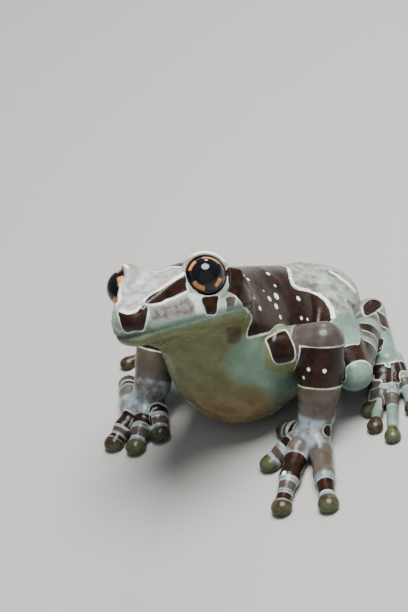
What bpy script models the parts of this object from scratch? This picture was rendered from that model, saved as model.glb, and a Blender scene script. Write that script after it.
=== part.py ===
"""Amazon milk frog, life size, sitting upright on a flat floor.

All lengths below are in millimetres. +X is the frog's left, -Y is the way it faces, +Z is up, and the
origin is on the floor under the middle of the frog's box. The flesh is one soft field of distances:
every muscle, finger and fold is a rounded shape that melts into its neighbours over a stated width.
The field is wrapped in one closed skin, which thin cuts at the joints part into the named pieces.
"""

import math

import bpy
import bmesh
import numpy as np
import openvdb
from mathutils import Matrix, Vector
from mathutils.bvhtree import BVHTree

MM = 0.001

# Driving dimensions.
SNOUT_TO_VENT = 62.0
HEAD_WIDTH = 0.387 * SNOUT_TO_VENT
EYE_RADIUS = 0.0575 * SNOUT_TO_VENT
EYE_SPREAD = 0.145 * SNOUT_TO_VENT
UPPER_ARM_RADIUS = 4.3
FOREARM_RADIUS = 4.4
THIGH_RADIUS = 5.1
SHANK_RADIUS = 3.2
FINGER_RADIUS = 0.0265 * SNOUT_TO_VENT
DISC_RADIUS = 0.0325 * SNOUT_TO_VENT
TOE_RADIUS = 0.0185 * SNOUT_TO_VENT
TOE_DISC_RADIUS = 0.026 * SNOUT_TO_VENT
WEB_THICKNESS = 0.9

# Making.
CELL = 0.45
FAR = 6.0
GAP = 0.3
BODY_TRIANGLES = 5200
LIMB_TRIANGLES = {"arm": 1700, "leg": 2000}
LEFT, RIGHT = 1, -1
SIDES = {"left": LEFT, "right": RIGHT}

# The box of the frog is centred over the origin by this move.
TO_ORIGIN = np.array([0.0, 0.84, 0.0])

# Pose of the head: where the middle of the line between the eyes is, and how the head is turned.
HEAD_PLACE = np.array([0.5, -15.5, 38.5])
HEAD_YAW, HEAD_PITCH, HEAD_ROLL = 9.0, 23.0, 12.5

# Pose of the limbs: joints, then the tips of the digits on the floor, first to last.
ARMS = {
    LEFT: {
        "shoulder": (9.5, -5.2, 16.2),
        "elbow": (20.3, -0.6, 18.2),
        "wrist": (19.8, -6.8, 6.4),
        "palm": (20.2, -10.2, 3.3),
        "knuckles": ((17.2, -9.6), (17.6, -12.4), (19.4, -14.4), (23.2, -12.2)),
        "tips": ((12.6, -8.8), (15.2, -17.6), (24.4, -26.8), (32.2, -22.9)),
    },
    RIGHT: {
        "shoulder": (-8.8, -5.2, 16.4),
        "elbow": (-18.4, -1.6, 17.6),
        "wrist": (-17.4, -11.4, 6.4),
        "palm": (-18.6, -14.2, 3.1),
        "knuckles": ((-15.8, -13.8), (-16.4, -16.4), (-19.2, -17.2), (-21.8, -14.8)),
        "tips": ((-11.6, -18.4), (-14.0, -23.2), (-19.0, -23.8), (-28.0, -8.6)),
    },
}
LEGS = {
    side: {
        "hip": (side * 6.5, 15.0, 10.5),
        "knee": (side * 22.4, 2.8, 8.8),
        "heel": (side * 10.5, 24.3, 4.3),
        "instep": (side * 20.5, 14.5, 2.2),
        "tips": tuple(
            (side * x, y) for x, y in ((22.4, 7.4), (24.4, 2.2), (28.0, -1.4), (32.8, -2.6), (32.0, 5.4))
        ),
    }
    for side in (LEFT, RIGHT)
}

# Skull, from nape to snout: how far forward, then the half width, the crown, the lip and the chin there.
FORWARD = (-12.0, -7.0, -3.0, 1.0, 5.0, 9.0, 12.0, 14.0, 15.4)
HALF_WIDTH = tuple(HEAD_WIDTH * k for k in (0.375, 0.5, 0.496, 0.463, 0.392, 0.298, 0.21, 0.14, 0.05))
CROWN = (-0.8, 0.8, 1.1, 1.1, 0.9, 0.1, -0.8, -1.8, -3.6)
LIP = (-8.2, -7.8, -7.4, -7.0, -6.7, -6.4, -6.2, -6.1, -6.0)
CHIN = (-14.0, -13.2, -12.3, -11.3, -10.2, -9.1, -8.3, -7.7, -6.8)
EYE_AXIS = np.array([0.62, 0.72, 0.30]) / np.linalg.norm([0.62, 0.72, 0.30])
GAZE = np.array([0.77, 0.58, 0.26]) / np.linalg.norm([0.77, 0.58, 0.26])

SKIN = (0.48, 0.56, 0.52)
EYE = (0.02, 0.015, 0.015)


def turn(axis, degrees):
    """A 3 by 3 rotation about a main axis."""
    return np.array(Matrix.Rotation(math.radians(degrees), 3, axis))


def head_axes():
    """Rows: the head's forward, left and up directions in the frog's frame."""
    base = np.array([[0.0, -1.0, 0.0], [1.0, 0.0, 0.0], [0.0, 0.0, 1.0]])
    turned = turn("Z", HEAD_YAW) @ turn("X", -HEAD_PITCH) @ turn("Y", -HEAD_ROLL)
    return base @ turned.T


HEAD_AXES = head_axes()


def in_head(forward, left, up):
    """A point given along the head's own directions, from the middle between the eyes."""
    return HEAD_PLACE + np.array([forward, left, up]) @ HEAD_AXES


def unit(vector):
    vector = np.array(vector, float)
    return vector / np.linalg.norm(vector)


def melt(a, b, width):
    """The smaller of two distances, rounded where they meet within this width."""
    h = np.maximum(width - np.abs(a - b), 0.0) / width
    return np.minimum(a, b) - h * h * width * 0.25


def curve(x, stations, values):
    """A smooth curve through values at stations."""
    stations = np.array(stations, float)
    values = np.array(values, float)
    slopes = np.gradient(values, stations)
    i = np.clip(np.searchsorted(stations, x) - 1, 0, len(stations) - 2)
    h = stations[i + 1] - stations[i]
    t = np.clip((x - stations[i]) / h, 0.0, 1.0)
    start = (1 + 2 * t) * (1 - t) ** 2 * values[i] + t * (1 - t) ** 2 * h * slopes[i]
    return start + t * t * (3 - 2 * t) * values[i + 1] + t * t * (t - 1) * h * slopes[i + 1]


class Shape:
    """A rounded shape: a function for the distance to it, and the box that holds it."""

    def __init__(self, distance, low, high):
        self.distance = distance
        self.low = np.array(low, float)
        self.high = np.array(high, float)


def blob(centre, radii, axes=None):
    """An ellipsoid, turned by rows of axes if given."""
    centre = np.array(centre, float)
    radii = np.array(radii, float)
    axes = np.eye(3) if axes is None else np.array(axes, float)

    def distance(p):
        q = (p - centre) @ axes.T
        near = np.linalg.norm(q / radii, axis=-1)
        steep = np.linalg.norm(q / radii**2, axis=-1)
        return near * (near - 1.0) / np.maximum(steep, 1e-6)

    return Shape(distance, centre - radii.max(), centre + radii.max())


def tube(points, radii):
    """Round cones end to end."""
    points = np.array(points, float)
    radii = np.array(radii, float)

    def distance(p):
        nearest = None
        for a, b, r, s in zip(points, points[1:], radii, radii[1:]):
            along = b - a
            t = np.clip(((p - a) @ along) / (along @ along), 0.0, 1.0)
            d = np.linalg.norm(p - a - t[..., None] * along, axis=-1) - (r + (s - r) * t)
            nearest = d if nearest is None else np.minimum(nearest, d)
        return nearest

    return Shape(distance, points.min(0) - radii.max(), points.max(0) + radii.max())


def flat_distance(p, corners):
    """Distance from a flat outline of corners, below zero inside it."""
    flat = np.full(p.shape[:-1], 1e9)
    inside = np.zeros(p.shape[:-1], bool)
    for a, b in zip(corners, np.roll(corners, -1, axis=0)):
        edge = b - a
        q = p - a
        t = np.clip((q @ edge) / (edge @ edge), 0.0, 1.0)
        flat = np.minimum(flat, np.linalg.norm(q - t[..., None] * edge, axis=-1))
        crosses = (a[1] > p[..., 1]) != (b[1] > p[..., 1])
        reach = a[0] + (p[..., 1] - a[1]) * edge[0] / (edge[1] if abs(edge[1]) > 1e-9 else 1e-9)
        inside ^= crosses & (p[..., 0] < reach)
    return np.where(inside, -flat, flat)


def web(corners, thickness):
    """A thin membrane on the floor, spanning corners given in order round its outline."""
    corners = np.array(corners, float)

    def distance(p):
        flat = flat_distance(p[..., :2], corners)
        upright = np.abs(p[..., 2] - 0.1) - thickness
        outside = np.hypot(np.maximum(flat, 0.0), np.maximum(upright, 0.0))
        return outside + np.minimum(np.maximum(flat, upright), 0.0)

    low = (*corners.min(0), 0.1 - thickness)
    high = (*corners.max(0), 0.1 + thickness)
    return Shape(distance, low, high)


def cluster(parts):
    """Shapes melted together in turn, each over its own width."""

    def distance(p):
        total = None
        for shape, width in parts:
            d = shape.distance(p)
            total = d if total is None else melt(total, d, width)
        return total

    low = np.min([shape.low for shape, _ in parts], axis=0)
    high = np.max([shape.high for shape, _ in parts], axis=0)
    return Shape(distance, low, high)


class Flesh:
    """Distances to the skin on a grid of points: below zero inside."""

    def __init__(self, low, high, cell):
        self.cell = cell
        self.low = np.array(low, float)
        size = np.ceil((np.array(high, float) - self.low) / cell).astype(int) + 1
        self.values = np.full(size, FAR, np.float32)

    def window(self, shape, margin):
        start = np.maximum(np.floor((shape.low - margin - self.low) / self.cell).astype(int), 0)
        end = np.ceil((shape.high + margin - self.low) / self.cell).astype(int) + 1
        end = np.minimum(end, self.values.shape)
        lines = [self.low[i] + self.cell * np.arange(start[i], end[i]) for i in range(3)]
        points = np.stack(np.meshgrid(*lines, indexing="ij"), axis=-1)
        return tuple(slice(i, j) for i, j in zip(start, end)), points

    def add(self, shape, width, root=None, reach=1.0, root_width=0.0):
        """Melts a shape in. Round a root point the width grows, as a limb melts into the trunk."""
        where, points = self.window(shape, max(width, root_width) + 2.0)
        if root is not None:
            away = ((points - np.array(root, float)) ** 2).sum(axis=-1)
            width = width + (root_width - width) * np.exp(-away / reach**2)
        self.values[where] = melt(self.values[where], shape.distance(points), width)

    def carve(self, shape, width):
        where, points = self.window(shape, width + 2.0)
        self.values[where] = -melt(-self.values[where], shape.distance(points), width)

    def at(self, point):
        """The distance at any point, between the grid's own."""
        place = (np.array(point, float) - self.low) / self.cell
        i, j, k = np.floor(place).astype(int)
        f = place - (i, j, k)
        block = self.values[i : i + 2, j : j + 2, k : k + 2].astype(float)
        block = block[0] * (1 - f[0]) + block[1] * f[0]
        block = block[0] * (1 - f[1]) + block[1] * f[1]
        return block[0] * (1 - f[2]) + block[1] * f[2]

    def surface_along(self, start, direction, reach):
        """Where a ray from inside leaves the flesh."""
        start = np.array(start, float)
        direction = unit(direction)
        before = self.at(start)
        for step in np.arange(0.1, reach, 0.1):
            after = self.at(start + direction * step)
            if before <= 0.0 < after:
                return start + direction * (step - 0.1 * after / (after - before))
            before = after
        return start + direction * reach

    def skin(self):
        """Points and quads of the closed skin."""
        grid = openvdb.FloatGrid(FAR)
        grid.copyFromArray(self.values)
        points, quads = grid.convertToQuads(isovalue=0.0)
        return points * self.cell + self.low, quads

    def share(self, own, others, gap):
        """The flesh nearer to its own shape than to the others, held back by half a gap."""
        lead = own - others
        slope = np.sqrt(sum(step**2 for step in np.gradient(lead, self.cell)))
        kept = Flesh.__new__(Flesh)
        kept.cell, kept.low = self.cell, self.low
        kept.values = np.maximum(self.values, lead / np.maximum(slope, 0.4) + gap / 2)
        return kept


def head_half(rise, share, power, end):
    """The skull above the lip, or the jaw below it, as rounded sections along the head."""
    upward = 1.0 if rise is CROWN else -1.0
    width = tuple(share * half for half in HALF_WIDTH)

    def distance(p):
        s, u, v = np.moveaxis((p - HEAD_PLACE) @ HEAD_AXES.T, -1, 0)
        along = np.clip(s, FORWARD[0], end)
        level = curve(along, FORWARD, LIP)
        tall = np.maximum(np.abs(curve(along, FORWARD, rise) - level), 0.3)
        wide = curve(along, FORWARD, width)
        above = v - level
        half = np.where(above * upward > 0.0, tall, 1.2)
        k = ((np.abs(u) / wide) ** power + (np.abs(above) / half) ** power) ** (1.0 / power)
        spoke = np.hypot(u, above)
        radial = np.where(k > 1e-3, spoke * (1.0 - 1.0 / np.maximum(k, 1e-3)), -np.minimum(wide, half))
        beyond = np.maximum(s - end, FORWARD[0] - s)
        outside = np.hypot(np.maximum(radial, 0.0), np.maximum(beyond, 0.0))
        return np.where(beyond > 0.0, outside, np.maximum(radial, beyond))

    corners = [in_head(s, u, v) for s in (FORWARD[0], end) for u in (-12.5, 12.5) for v in (-15.0, 3.0)]
    return Shape(distance, np.min(corners, axis=0), np.max(corners, axis=0))


def eye_centre(side):
    return in_head(0.0, side * EYE_SPREAD, 0.0)


def eye_axis(side):
    """The way the lids open."""
    return (EYE_AXIS * (1.0, side, 1.0)) @ HEAD_AXES


def gaze(side):
    """The way the eye looks."""
    return (GAZE * (1.0, side, 1.0)) @ HEAD_AXES


def open_lids(flesh, gap):
    """Carves the sockets, and clears the view of each eye along its gaze."""
    for side in SIDES.values():
        flesh.carve(blob(eye_centre(side), [EYE_RADIUS + gap] * 3), 0.05)
        flesh.carve(blob(eye_centre(side) + 1.1 * gaze(side), [EYE_RADIUS + 0.1] * 3), 0.3)


def eyelid(side):
    """A ball a little larger than the eye, open in front."""
    centre = eye_centre(side)
    axis = eye_axis(side)

    def distance(p):
        ball = np.linalg.norm(p - centre, axis=-1) - (EYE_RADIUS + 1.05)
        front = (p - centre) @ axis - 0.9
        return -melt(-ball, -front, 0.6)

    return Shape(distance, centre - 5.0, centre + 5.0)


def head_blob(centre, radii):
    return blob(in_head(*centre), radii, HEAD_AXES)


def add_head(flesh):
    flesh.add(head_half(CROWN, 1.0, 2.3, 13.0), 0.3)
    flesh.add(head_blob((10.6, 0.0, -3.9), (4.6, 4.7, 2.9)), 1.2)
    flesh.add(head_half(CHIN, 0.96, 2.2, 12.6), 0.4)
    flesh.add(head_blob((10.0, 0.0, -7.3), (4.2, 4.2, 1.5)), 1.2)
    for side in SIDES.values():
        ridge = tube([in_head(3.5, side * 6.2, 0.7), in_head(11.8, side * 2.8, -1.9)], [1.3, 1.0])
        flesh.add(ridge, 1.2)
        flesh.add(head_blob((-0.6, side * 7.2, -0.8), (5.0, 4.0, 3.6)), 1.5)
        flesh.add(eyelid(side), 0.6)
        flesh.add(head_blob((-6.5, side * 8.6, -5.0), (4.5, 3.2, 3.6)), 2.0)
        fold = (-3.4, side * 9.0, 0.6), (-7.4, side * 10.9, -1.6), (-9.6, side * 10.4, -5.5)
        flesh.add(tube([in_head(*point) for point in fold], [0.7, 0.9, 1.0]), 1.0)
        flesh.add(head_blob((-6.2, side * 11.3, -4.6), (1.7, 0.8, 1.7)), 0.4)


def add_trunk(flesh):
    flesh.add(blob((0.0, 17.5, 7.5), (10.4, 10.2, 8.5)), 1.0)
    flesh.add(blob((0.0, 24.0, 6.0), (5.0, 5.0, 4.5)), 4.0)
    flesh.add(blob((0.0, 1.5, 10.8), (13.6, 14.6, 11.6)), 5.0)
    flesh.add(blob((0.5, -6.5, 13.5), (12.0, 10.5, 12.5)), 5.0)
    flesh.add(blob((0.5, -6.5, 22.0), (10.6, 9.0, 8.0)), 4.0)
    flesh.add(tube([in_head(-6.0, 0.0, -7.0), (0.5, -7.0, 19.0)], [8.4, 10.0]), 4.0)
    flesh.add(tube([(0.5, -5.5, 24.0), (0.3, 3.0, 18.4), (0.0, 12.0, 12.9)], [7.9, 8.3, 7.4]), 4.0)
    for side in SIDES.values():
        flesh.add(blob((side * 5.5, 18.0, 9.6), (4.5, 6.4, 4.6)), 4.0)


def digit(knuckle, joint, tip, radius, disc, root):
    """One finger or toe: two bones, a swollen joint and a disc flattened on the floor."""
    knuckle, joint, tip = (np.array(point, float) for point in (knuckle, joint, tip))
    ahead = unit((tip - joint) * (1.0, 1.0, 0.0))
    axes = np.array([ahead, (-ahead[1], ahead[0], 0.0), (0.0, 0.0, 1.0)])
    return [
        (tube([knuckle, joint, tip], [radius * root, radius * 1.08, radius * 0.82]), 0.6),
        (blob(tip + ahead * 0.3, (disc * 1.02, disc, disc * 0.74), axes), 0.7),
        (blob(joint, (radius * 1.25, radius * 1.2, radius * 1.15), axes), 0.8),
    ]


def arm(side):
    """The upper arm, then the rest of the arm with its fingers, and the point where it grows from."""
    pose = ARMS[side]
    shoulder, elbow, wrist, palm = (np.array(pose[k]) for k in ("shoulder", "elbow", "wrist", "palm"))
    thick = FOREARM_RADIUS
    upper = tube([shoulder, (shoulder + elbow) / 2, elbow], [4.5, UPPER_ARM_RADIUS, 3.9])
    along = wrist - elbow
    fore = tube([elbow, elbow + along * 0.35, elbow + along * 0.75, wrist], [3.8, thick, 4.0, 3.4])
    parts = [(fore, 1.5), (tube([wrist, palm], [3.3, 2.8]), 1.2)]
    parts.append((blob(palm + (0.0, -0.6, -0.3), (3.9, 3.4, 2.5)), 1.5))
    for (x, y), (tip_x, tip_y) in zip(pose["knuckles"], pose["tips"]):
        joint = ((x + tip_x) / 2, (y + tip_y) / 2, 1.9)
        parts += digit((x, y, 2.1), joint, (tip_x, tip_y, 1.15), FINGER_RADIUS, DISC_RADIUS, 1.4)
    return upper, cluster(parts), shoulder


def leg(side):
    """The thigh, then the rest of the leg with its webbed toes, and the point where it grows from."""
    pose = LEGS[side]
    hip, knee, heel, instep = (np.array(pose[k]) for k in ("hip", "knee", "heel", "instep"))
    thigh = tube([hip, hip + (knee - hip) * 0.45, knee], [5.8, THIGH_RADIUS, 3.5])
    shank = tube([knee, knee + (heel - knee) * 0.4, heel], [3.3, SHANK_RADIUS, 2.7])
    parts = [(shank, 0.8), (tube([heel, instep], [2.7, 2.1]), 0.8)]
    bases = []
    for number, (tip_x, tip_y) in enumerate(pose["tips"]):
        base = instep + np.array([side * 0.5, 0.8, -0.3]) * (number - 2.0) * (1, 1, 0) + (0.0, 0.0, -0.4)
        joint = (np.array([tip_x, tip_y, 1.6]) + base) / 2
        parts += digit(base, joint, (tip_x, tip_y, 0.95), TOE_RADIUS, TOE_DISC_RADIUS, 1.1)
        bases.append(base[:2])
    for i in range(4):
        near, far = (np.array(pose["tips"][j]) for j in (i, i + 1))
        root = (bases[i] + bases[i + 1]) / 2
        corners = [root, root + (near - root) * 0.68, root + ((near + far) / 2 - root) * 0.52]
        corners.append(root + (far - root) * 0.68)
        parts.append((web(corners, WEB_THICKNESS), 0.5))
    return thigh, cluster(parts), hip


def frog(cell):
    """The whole flesh as a field with sockets for the eyes, and the fields of the body and of each limb."""
    box = (-42.0, -33.0, -1.5), (42.0, 33.0, 46.5)
    body = Flesh(*box, cell)
    add_head(body)
    add_trunk(body)
    flesh = Flesh(*box, cell)
    flesh.values[:] = body.values
    limbs = {}
    for side, sign in SIDES.items():
        for name, grow, reach in (("arm", arm, 6.5), ("leg", leg, 9.0)):
            upper, lower, root = grow(sign)
            limb = Flesh(*box, cell)
            limb.add(upper, 0.4)
            limb.add(lower, 0.4)
            limbs[name + "_" + side] = limb
            flesh.add(upper, 0.3, root, reach, 3.0)
            flesh.add(lower, 0.3)
    open_lids(flesh, GAP)
    return flesh, body, limbs


def mouth_outline(flesh):
    """Points along the mouth line from corner to corner, each with the way out of the head."""
    points = []
    for degrees in range(-112, 113, 4):
        a = math.radians(degrees)
        way = math.cos(a), math.sin(a)
        level = float(curve(-2.0 + 12.0 * max(way[0], -0.4), FORWARD, LIP))
        start = in_head(-3.0, 0.0, level)
        ahead = np.array([way[0], way[1], 0.0]) @ HEAD_AXES
        points.append((flesh.surface_along(start, ahead, 22.0), ahead))
    return points


def new_mesh(name, points, faces):
    mesh = bpy.data.meshes.new(name)
    mesh.from_pydata([tuple(point) for point in points], [], [tuple(face) for face in faces])
    mesh.update()
    return bpy.data.objects.new(name, mesh)


def plain(name, colour, roughness):
    material = bpy.data.materials.new(name)
    material.use_nodes = True
    shader = material.node_tree.nodes["Principled BSDF"]
    shader.inputs["Base Color"].default_value = (*colour, 1.0)
    shader.inputs["Roughness"].default_value = roughness
    return material


def recalculated(obj):
    """Turns every face outward."""
    cage = bmesh.new()
    cage.from_mesh(obj.data)
    bmesh.ops.recalc_face_normals(cage, faces=cage.faces)
    cage.to_mesh(obj.data)
    cage.free()
    return obj


def slab(name, centre, normal, half_width, half_height=None, upright=(0.0, 0.0, 1.0)):
    """A plate as thick as the gap between nodes."""
    normal = unit(normal)
    side = unit(np.cross(normal, upright))
    tall = np.cross(side, normal)
    half = (GAP / 2, half_width, half_height or half_width)
    corners = [
        np.array(centre, float) + normal * half[0] * i + side * half[1] * j + tall * half[2] * k
        for i in (-1, 1)
        for j in (-1, 1)
        for k in (-1, 1)
    ]
    faces = ((0, 1, 3, 2), (4, 6, 7, 5), (0, 4, 5, 1), (2, 3, 7, 6), (0, 2, 6, 4), (1, 5, 7, 3))
    return recalculated(new_mesh(name, corners, faces))


def parting(name, a, corner, b, behind, ahead, half_height, shift=0.0):
    """A plate through a joint, between two bones: it reaches ahead into the fold and behind the corner."""
    a, corner, b = (np.array(point, float) for point in (a, corner, b))
    normal = unit(unit(a - corner) - unit(b - corner))
    fold = unit(unit(a - corner) + unit(b - corner))
    centre = corner + fold * (ahead - behind) / 2 - normal * shift
    return slab(name, centre, normal, (ahead + behind) / 2, half_height, np.cross(fold, normal))


def neck_cut():
    return slab("neck", in_head(-10.0, 0.0, -5.0) + (0.0, -0.5, 0.3), (0.12, -0.80, 0.58), 20.0, 20.0)


def arm_cuts(sign):
    pose = ARMS[sign]
    shoulder, elbow, wrist, palm = (np.array(pose[k]) for k in ("shoulder", "elbow", "wrist", "palm"))
    return [
        parting("elbow", shoulder, elbow, wrist, 8.0, 11.5, 7.5),
        parting("wrist", elbow, wrist, palm, 6.0, 6.0, 6.0),
    ]


def leg_cuts(sign):
    pose = LEGS[sign]
    hip, knee, heel, instep = (np.array(pose[k]) for k in ("hip", "knee", "heel", "instep"))
    return [
        parting("knee", hip, knee, heel, 5.5, 28.0, 11.0, 0.6),
        parting("ankle", knee, heel, instep, 5.0, 14.0, 5.5, 0.4),
    ]


def mouth_cut(flesh):
    """A thin curved slot that leaves the line of the closed mouth."""
    up = HEAD_AXES[2]
    points = []
    rows = mouth_outline(flesh)
    for place, ahead in rows:
        for out, rise in ((0.8, 0.16), (0.8, -0.16), (-0.9, -0.16), (-0.9, 0.16)):
            points.append(place + ahead * out + up * rise)
    faces = []
    for i in range(len(rows) - 1):
        for j in range(4):
            k = (j + 1) % 4
            faces.append((4 * i + j, 4 * i + k, 4 * i + 4 + k, 4 * i + 4 + j))
    last = 4 * len(rows) - 4
    faces += [(3, 2, 1, 0), (last, last + 1, last + 2, last + 3)]
    return recalculated(new_mesh("mouth", points, faces))


def nostril(name, flesh, side):
    outward = np.array([0.62, side * 0.5, 0.42]) @ HEAD_AXES
    place = flesh.surface_along(in_head(9.0, 0.0, -3.6), outward, 9.0)
    cage = bmesh.new()
    move = Matrix.Translation(Vector(place))
    bmesh.ops.create_icosphere(cage, subdivisions=1, radius=0.55, matrix=move)
    mesh = bpy.data.meshes.new(name)
    cage.to_mesh(mesh)
    cage.free()
    return bpy.data.objects.new(name, mesh)


def applied(obj):
    """Swaps an object's mesh for what its modifiers make of it."""
    bpy.context.view_layer.update()
    graph = bpy.context.evaluated_depsgraph_get()
    mesh = bpy.data.meshes.new_from_object(obj.evaluated_get(graph), depsgraph=graph)
    obj.modifiers.clear()
    obj.data = mesh


def cut_away(obj, cutter, solver="EXACT"):
    boolean = obj.modifiers.new(cutter.name, "BOOLEAN")
    boolean.operation = "DIFFERENCE"
    boolean.solver = solver
    boolean.object = cutter
    applied(obj)
    mesh = cutter.data
    bpy.data.objects.remove(cutter)
    bpy.data.meshes.remove(mesh)


def flatten_on_floor(obj):
    """Cuts the skin level with the floor and closes it with flats."""
    cage = bmesh.new()
    cage.from_mesh(obj.data)
    geometry = cage.verts[:] + cage.edges[:] + cage.faces[:]
    bmesh.ops.bisect_plane(
        cage, geom=geometry, dist=1e-8, plane_co=(0.0, 0.0, 0.0), plane_no=(0.0, 0.0, -1.0),
        clear_outer=True,
    )
    rims = [edge for edge in cage.edges if edge.is_boundary]
    bmesh.ops.holes_fill(cage, edges=rims, sides=0)
    bmesh.ops.triangulate(cage, faces=[face for face in cage.faces if len(face.verts) > 4])
    bmesh.ops.recalc_face_normals(cage, faces=cage.faces)
    cage.to_mesh(obj.data)
    cage.free()


def loose_pieces(obj):
    """Closed surfaces of a mesh, each as its points and faces, largest first."""
    mesh = obj.data
    group = list(range(len(mesh.vertices)))

    def root(i):
        while group[i] != i:
            group[i] = group[group[i]]
            i = group[i]
        return i

    for edge in mesh.edges:
        a, b = root(edge.vertices[0]), root(edge.vertices[1])
        group[a] = b
    pieces = {}
    for face in mesh.polygons:
        pieces.setdefault(root(face.vertices[0]), []).append(tuple(face.vertices))
    found = []
    for faces in pieces.values():
        used = sorted({i for face in faces for i in face})
        place = {old: new for new, old in enumerate(used)}
        points = [tuple(mesh.vertices[i].co) for i in used]
        found.append((points, [tuple(place[i] for i in face) for face in faces]))
    return sorted(found, key=lambda piece: -len(piece[1]))


def markers():
    """A point inside each node."""
    places = {"head": in_head(-1.0, 0.0, -4.5), "torso": np.array([0.0, 3.0, 12.0])}
    for side, sign in SIDES.items():
        arm_pose, leg_pose = ARMS[sign], LEGS[sign]
        joints = {k: np.array(v) for k, v in (*arm_pose.items(), *leg_pose.items()) if len(v) == 3}
        places["upper_arm_" + side] = joints["shoulder"] * 0.35 + joints["elbow"] * 0.65
        places["forearm_" + side] = joints["elbow"] * 0.5 + joints["wrist"] * 0.5
        places["hand_" + side] = joints["palm"]
        places["thigh_" + side] = joints["hip"] * 0.35 + joints["knee"] * 0.65
        places["shank_" + side] = joints["knee"] * 0.45 + joints["heel"] * 0.55
        places["foot_" + side] = joints["heel"] * 0.4 + joints["instep"] * 0.6
    return places


def holds(piece, place):
    """Whether a point is inside a closed surface: a ray from it then crosses it an odd number of times."""
    tree = BVHTree.FromPolygons(*piece)
    way = Vector((0.123, 0.257, 0.958))
    start = Vector(place)
    crossings = 0
    while True:
        hit, normal, index, far = tree.ray_cast(start, way)
        if hit is None:
            return crossings % 2 == 1
        crossings += 1
        start = hit + way * 1e-4


def soften(mesh, degrees):
    mesh.shade_smooth()
    mesh.set_sharp_from_angle(angle=math.radians(degrees))


def eyeball(name, side):
    cage = bmesh.new()
    spin = Vector((0.0, 0.0, 1.0)).rotation_difference(Vector(gaze(side))).to_matrix().to_4x4()
    move = Matrix.Translation(Vector(eye_centre(side))) @ spin
    bmesh.ops.create_uvsphere(cage, u_segments=20, v_segments=12, radius=EYE_RADIUS, matrix=move)
    mesh = bpy.data.meshes.new(name)
    cage.to_mesh(mesh)
    cage.free()
    mesh.shade_smooth()
    return bpy.data.objects.new(name, mesh)


def build():
    for old in list(bpy.data.objects):
        bpy.data.objects.remove(old)
    home = bpy.data.collections.new("amazon_milk_frog")
    bpy.context.scene.collection.children.link(home)

    flesh, body, limbs = frog(CELL)
    fields = {"body": body.values, **{name: limb.values for name, limb in limbs.items()}}

    def nearest_other(own):
        return np.minimum.reduce([field for name, field in fields.items() if name != own])

    cuts = [neck_cut(), mouth_cut(flesh)]
    cuts += [nostril("nostril_" + name, flesh, side) for name, side in SIDES.items()]
    share = flesh.share(body.values, nearest_other("body"), GAP)
    chunks = [(share, BODY_TRIANGLES, cuts, ("head", "torso"))]
    for name, limb in limbs.items():
        kind, side = name.split("_")
        sign = SIDES[side]
        cuts = arm_cuts(sign) if kind == "arm" else leg_cuts(sign)
        names = ("upper_arm", "forearm", "hand") if kind == "arm" else ("thigh", "shank", "foot")
        names = [one + "_" + side for one in names]
        share = flesh.share(limb.values, nearest_other(name), GAP)
        chunks.append((share, LIMB_TRIANGLES[kind], cuts, names))
    places = markers()
    for share, triangles, cuts, names in chunks:
        points, quads = share.skin()
        whole = new_mesh("chunk", points, quads)
        home.objects.link(whole)
        recalculated(whole)
        thin = whole.modifiers.new("fewer_faces", "DECIMATE")
        thin.ratio = triangles / (2 * len(quads))
        applied(whole)
        flatten_on_floor(whole)
        for cutter in cuts:
            home.objects.link(cutter)
            cut_away(whole, cutter)
        pieces = loose_pieces(whole)
        bpy.data.objects.remove(whole)
        for name in names:
            piece = next((one for one in pieces if holds(one, places[name])), None)
            if piece is None:
                print("no piece holds the marker of", name)
                continue
            pieces.remove(piece)
            node = new_mesh(name, *piece)
            home.objects.link(node)
            soften(node.data, 40.0)
            node.data.materials.append(plain(name + "_skin", SKIN, 0.45))
            print(name, len(node.data.polygons), "faces")
        for scrap in pieces:
            print("left out a scrap of", len(scrap[1]), "faces at", np.round(scrap[0][0], 1))

    for side, sign in SIDES.items():
        eye = eyeball("eye_" + side, sign)
        home.objects.link(eye)
        eye.data.materials.append(plain("eye_" + side, EYE, 0.08))
    box = []
    for obj in home.objects:
        obj.data.transform(Matrix.Scale(MM, 4) @ Matrix.Translation(Vector(TO_ORIGIN)))
        box += [np.array(vertex.co) for vertex in obj.data.vertices]
    low, high = np.min(box, axis=0) / MM, np.max(box, axis=0) / MM
    print("box", np.round(low, 2), np.round(high, 2), "size", np.round(high - low, 2))


if __name__ == "__main__":
    build()
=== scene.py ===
# %% [markdown]
# # Amazon milk frog, life size
# A tree frog about six centimetres long sits upright on a plain floor. Its flesh could be modelled by
# pushing one mesh about by hand, or by joining separate limbs, but joins show as seams on living skin.
# Here the whole body is one soft field of distances: rounded muscles melt into each other, and a single
# skin is wrapped round the result. First the solid model is loaded, which everything is placed by.

# %% Load the solid model as the frame
import math

import bmesh
import bpy
import numpy as np
import openvdb
from mathutils import Matrix, Vector


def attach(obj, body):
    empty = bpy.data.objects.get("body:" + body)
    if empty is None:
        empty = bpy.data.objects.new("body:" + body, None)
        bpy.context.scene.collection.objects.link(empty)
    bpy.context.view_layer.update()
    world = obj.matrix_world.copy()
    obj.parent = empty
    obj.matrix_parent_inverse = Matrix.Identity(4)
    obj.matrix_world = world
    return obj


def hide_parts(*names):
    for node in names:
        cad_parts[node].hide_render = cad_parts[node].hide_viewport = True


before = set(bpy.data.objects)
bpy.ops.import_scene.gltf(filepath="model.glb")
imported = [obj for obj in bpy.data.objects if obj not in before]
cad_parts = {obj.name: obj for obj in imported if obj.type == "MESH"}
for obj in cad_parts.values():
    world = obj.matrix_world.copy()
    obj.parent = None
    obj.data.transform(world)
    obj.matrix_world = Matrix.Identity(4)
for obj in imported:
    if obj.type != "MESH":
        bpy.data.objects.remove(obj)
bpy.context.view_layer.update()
FLESH_NODES = [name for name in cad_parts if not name.startswith("eye")]
print(len(FLESH_NODES), "flesh nodes and 2 eyes")

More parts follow.
